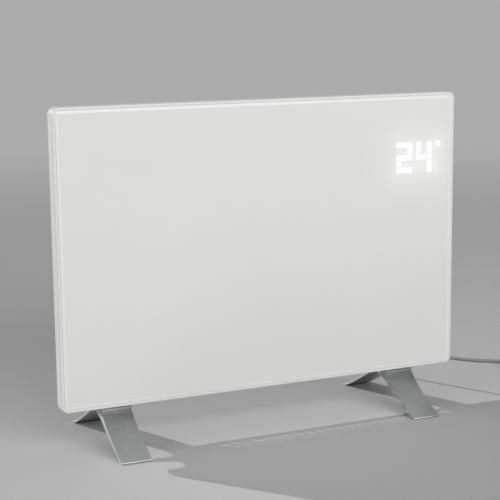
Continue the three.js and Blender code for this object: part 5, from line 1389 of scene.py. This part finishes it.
@dataclass
class Foot:
    """An arched extrusion: brushed faces, bright cut sides, bores for two screws and seats for two pads."""

    side: int
    width: float = 52.0
    arris: float = 0.45
    bore_z: Pair = (50.0, 75.0)
    seat_z: Pair = (20.0, 68.0)
    seat_radius: float = 5.2
    pads_y: Pair = (-70.5, 178.5)
    pad_half: Pair = (23.3, 4.8)
    pad_depth: float = 1.7
    steps: int = 18

    def build(self) -> None:
        """Makes the foot for one side."""
        half = self.width / 2
        made = prism("foot_section", Axis.X, self.outline(), -half, half)
        work = bmesh.new()
        work.from_mesh(made.data)
        side_x = half * MM * 0.99
        rim = [
            edge for edge in work.edges
            if abs(edge.verts[0].co.x) > side_x and abs(edge.verts[0].co.x - edge.verts[1].co.x) < 1e-6
        ]
        bmesh.ops.bevel(
            work, geom=rim, offset=self.arris * MM, segments=2, profile=0.6, affect="EDGES",
            clamp_overlap=True,
        )
        work.to_mesh(made.data)
        work.free()
        cut(made, self.bores())
        made.data.transform(Matrix.Translation(Vector((self.side * FOOT_X, GLASS_FACE_Y, 0)) * MM))
        name = "left" if self.side < 0 else "right"
        made.name = f"foot_extrusion_{name}"
        dress(smooth(made, 24), FOOT_FACE, FOOT_CUT)
        for face in made.data.polygons:
            face.material_index = 1 if abs(face.normal.x) > 0.3 else 0
        stands_for(made, f"foot_{name}")

    def outline(self) -> list[Pair]:
        """The section in the YZ plane, y from the face of the glass, anticlockwise.

        Returns:
            The points.
        """
        n = self.steps
        front_spring, crown, rear_spring = (16, 43.5), (57, 56.5), (92, 42.5)
        bend, heel, heel_top = (148, 12.8), (177, 0.8), (185.6, 2.45)
        rear_top, saddle, crease = (150, 15.2), (85, 49.1), (16.0, 58.5)
        under = [(-77, 0.8), (-65, 0.8), front_spring, *quadratic(front_spring, (39, 56.5), crown, n)]
        under += [*quadratic(crown, (71, 56.5), rear_spring, n), bend, *quadratic(bend, (164, 4.6), heel, 8)]
        rear = [(185.6, 0.8), (186, 1.2), (186, 2.1), heel_top, *quadratic(heel_top, (167, 7), rear_top, 10)]
        rear += [saddle, *quadratic(saddle, (65, 59.5), (61, 68), n)]
        neck = [(61, 72.7), (27, 72.7), (27, 69.4), (19.4, 67.3), (18.3, 67.1), (17.95, 66.8), (17.9, 66.3)]
        lip = [(17.66, 61.5), (19.2, 60.9), (17.0, 60.3), (16.5, 60.0), (16.4, 58.9), crease]
        front = quadratic(crease, (-16.3, 27.9), (-75.9, 3.0), 2 * n) + arc((-75.7, 1.9), 1.3, 95, 200, 6)
        return under + rear + neck + lip + front

    def bores(self) -> list[Piece]:
        """Cutters for the screws' bores and the pads' seats.

        Returns:
            The cutters.
        """
        cutters = []
        for x in (-FOOT_SCREW_X, FOOT_SCREW_X):
            bore = circle(FOOT_BORE_R, x, FOOT_SCREW_DEPTH, 24)
            seat = circle(self.seat_radius, x, FOOT_SCREW_DEPTH, 32)
            cutters += [prism("bore", Axis.Z, bore, *self.bore_z), prism("seat", Axis.Z, seat, *self.seat_z)]
        half_x, half_y = self.pad_half
        for y in self.pads_y:
            cutters.append(box("pad", (-half_x, y - half_y, -1), (half_x, y + half_y, self.pad_depth)))
        return cutters


# ---------------------------------------------------------------------------------------------------------
# CAD nodes that keep their own shape
# ---------------------------------------------------------------------------------------------------------

SIDES = ("left", "right")
KEPT: dict[Finish, tuple[str, ...]] = {
    FOAM_TAPE: ("glass_tape",),
    ZINC_SHEET: ("back_pan", "element_bracket_right", "element_bracket_left", "tilt_bracket"),
    DIFFUSER: ("display_light_guide",),
    BOARD: ("display_board", "touch_board", "power_board"),
    BLACK_PLASTIC: (
        "display_case", "air_sensor", "relay_upper", "relay_lower", "board_capacitor", "rocker_body",
        "rocker_key", "tilt_microswitch", "gland_nut",
    ),
    WHITE_PLASTIC: ("outlet_grille", "inlet_grille", "control_box", "terminal_block"),
    EXTRUDED: ("heating_element",),
    PLATED_STEEL: (
        "element_rod", "thermal_cutout", "tilt_pin", "nut_plate_left", "nut_plate_right",
        *(f"foot_screw_{side}_{i}" for side in SIDES for i in (1, 2)),
        *(f"housing_screw_{i}" for i in range(1, 7)),
    ),
    CERAMIC: ("element_bush_right", "element_bush_left"),
    BRIGHT_SHEET: ("heat_shield",),
    BRASS: ("tilt_weight",),
    RUBBER: tuple(f"foot_pad_{side}_{end}" for side in SIDES for end in ("front", "rear")),
}


def dress_kept() -> None:
    """Gives the CAD nodes that stay their finishes."""
    for finish, nodes in KEPT.items():
        for node in nodes:
            dress(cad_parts[node], finish)
            LOG.info("%s keeps its shape, finish %s", node, finish.name)


def main() -> None:
    """Builds the studio, the lead, and then the heater from front to back."""
    Studio().build()
    MainsLead().build()
    FrontPanel().build()
    Display().build()
    RearHousing().build()
    for side in (-1, 1):
        Foot(side).build()
    dress_kept()


if __name__ == "__main__":
    main()
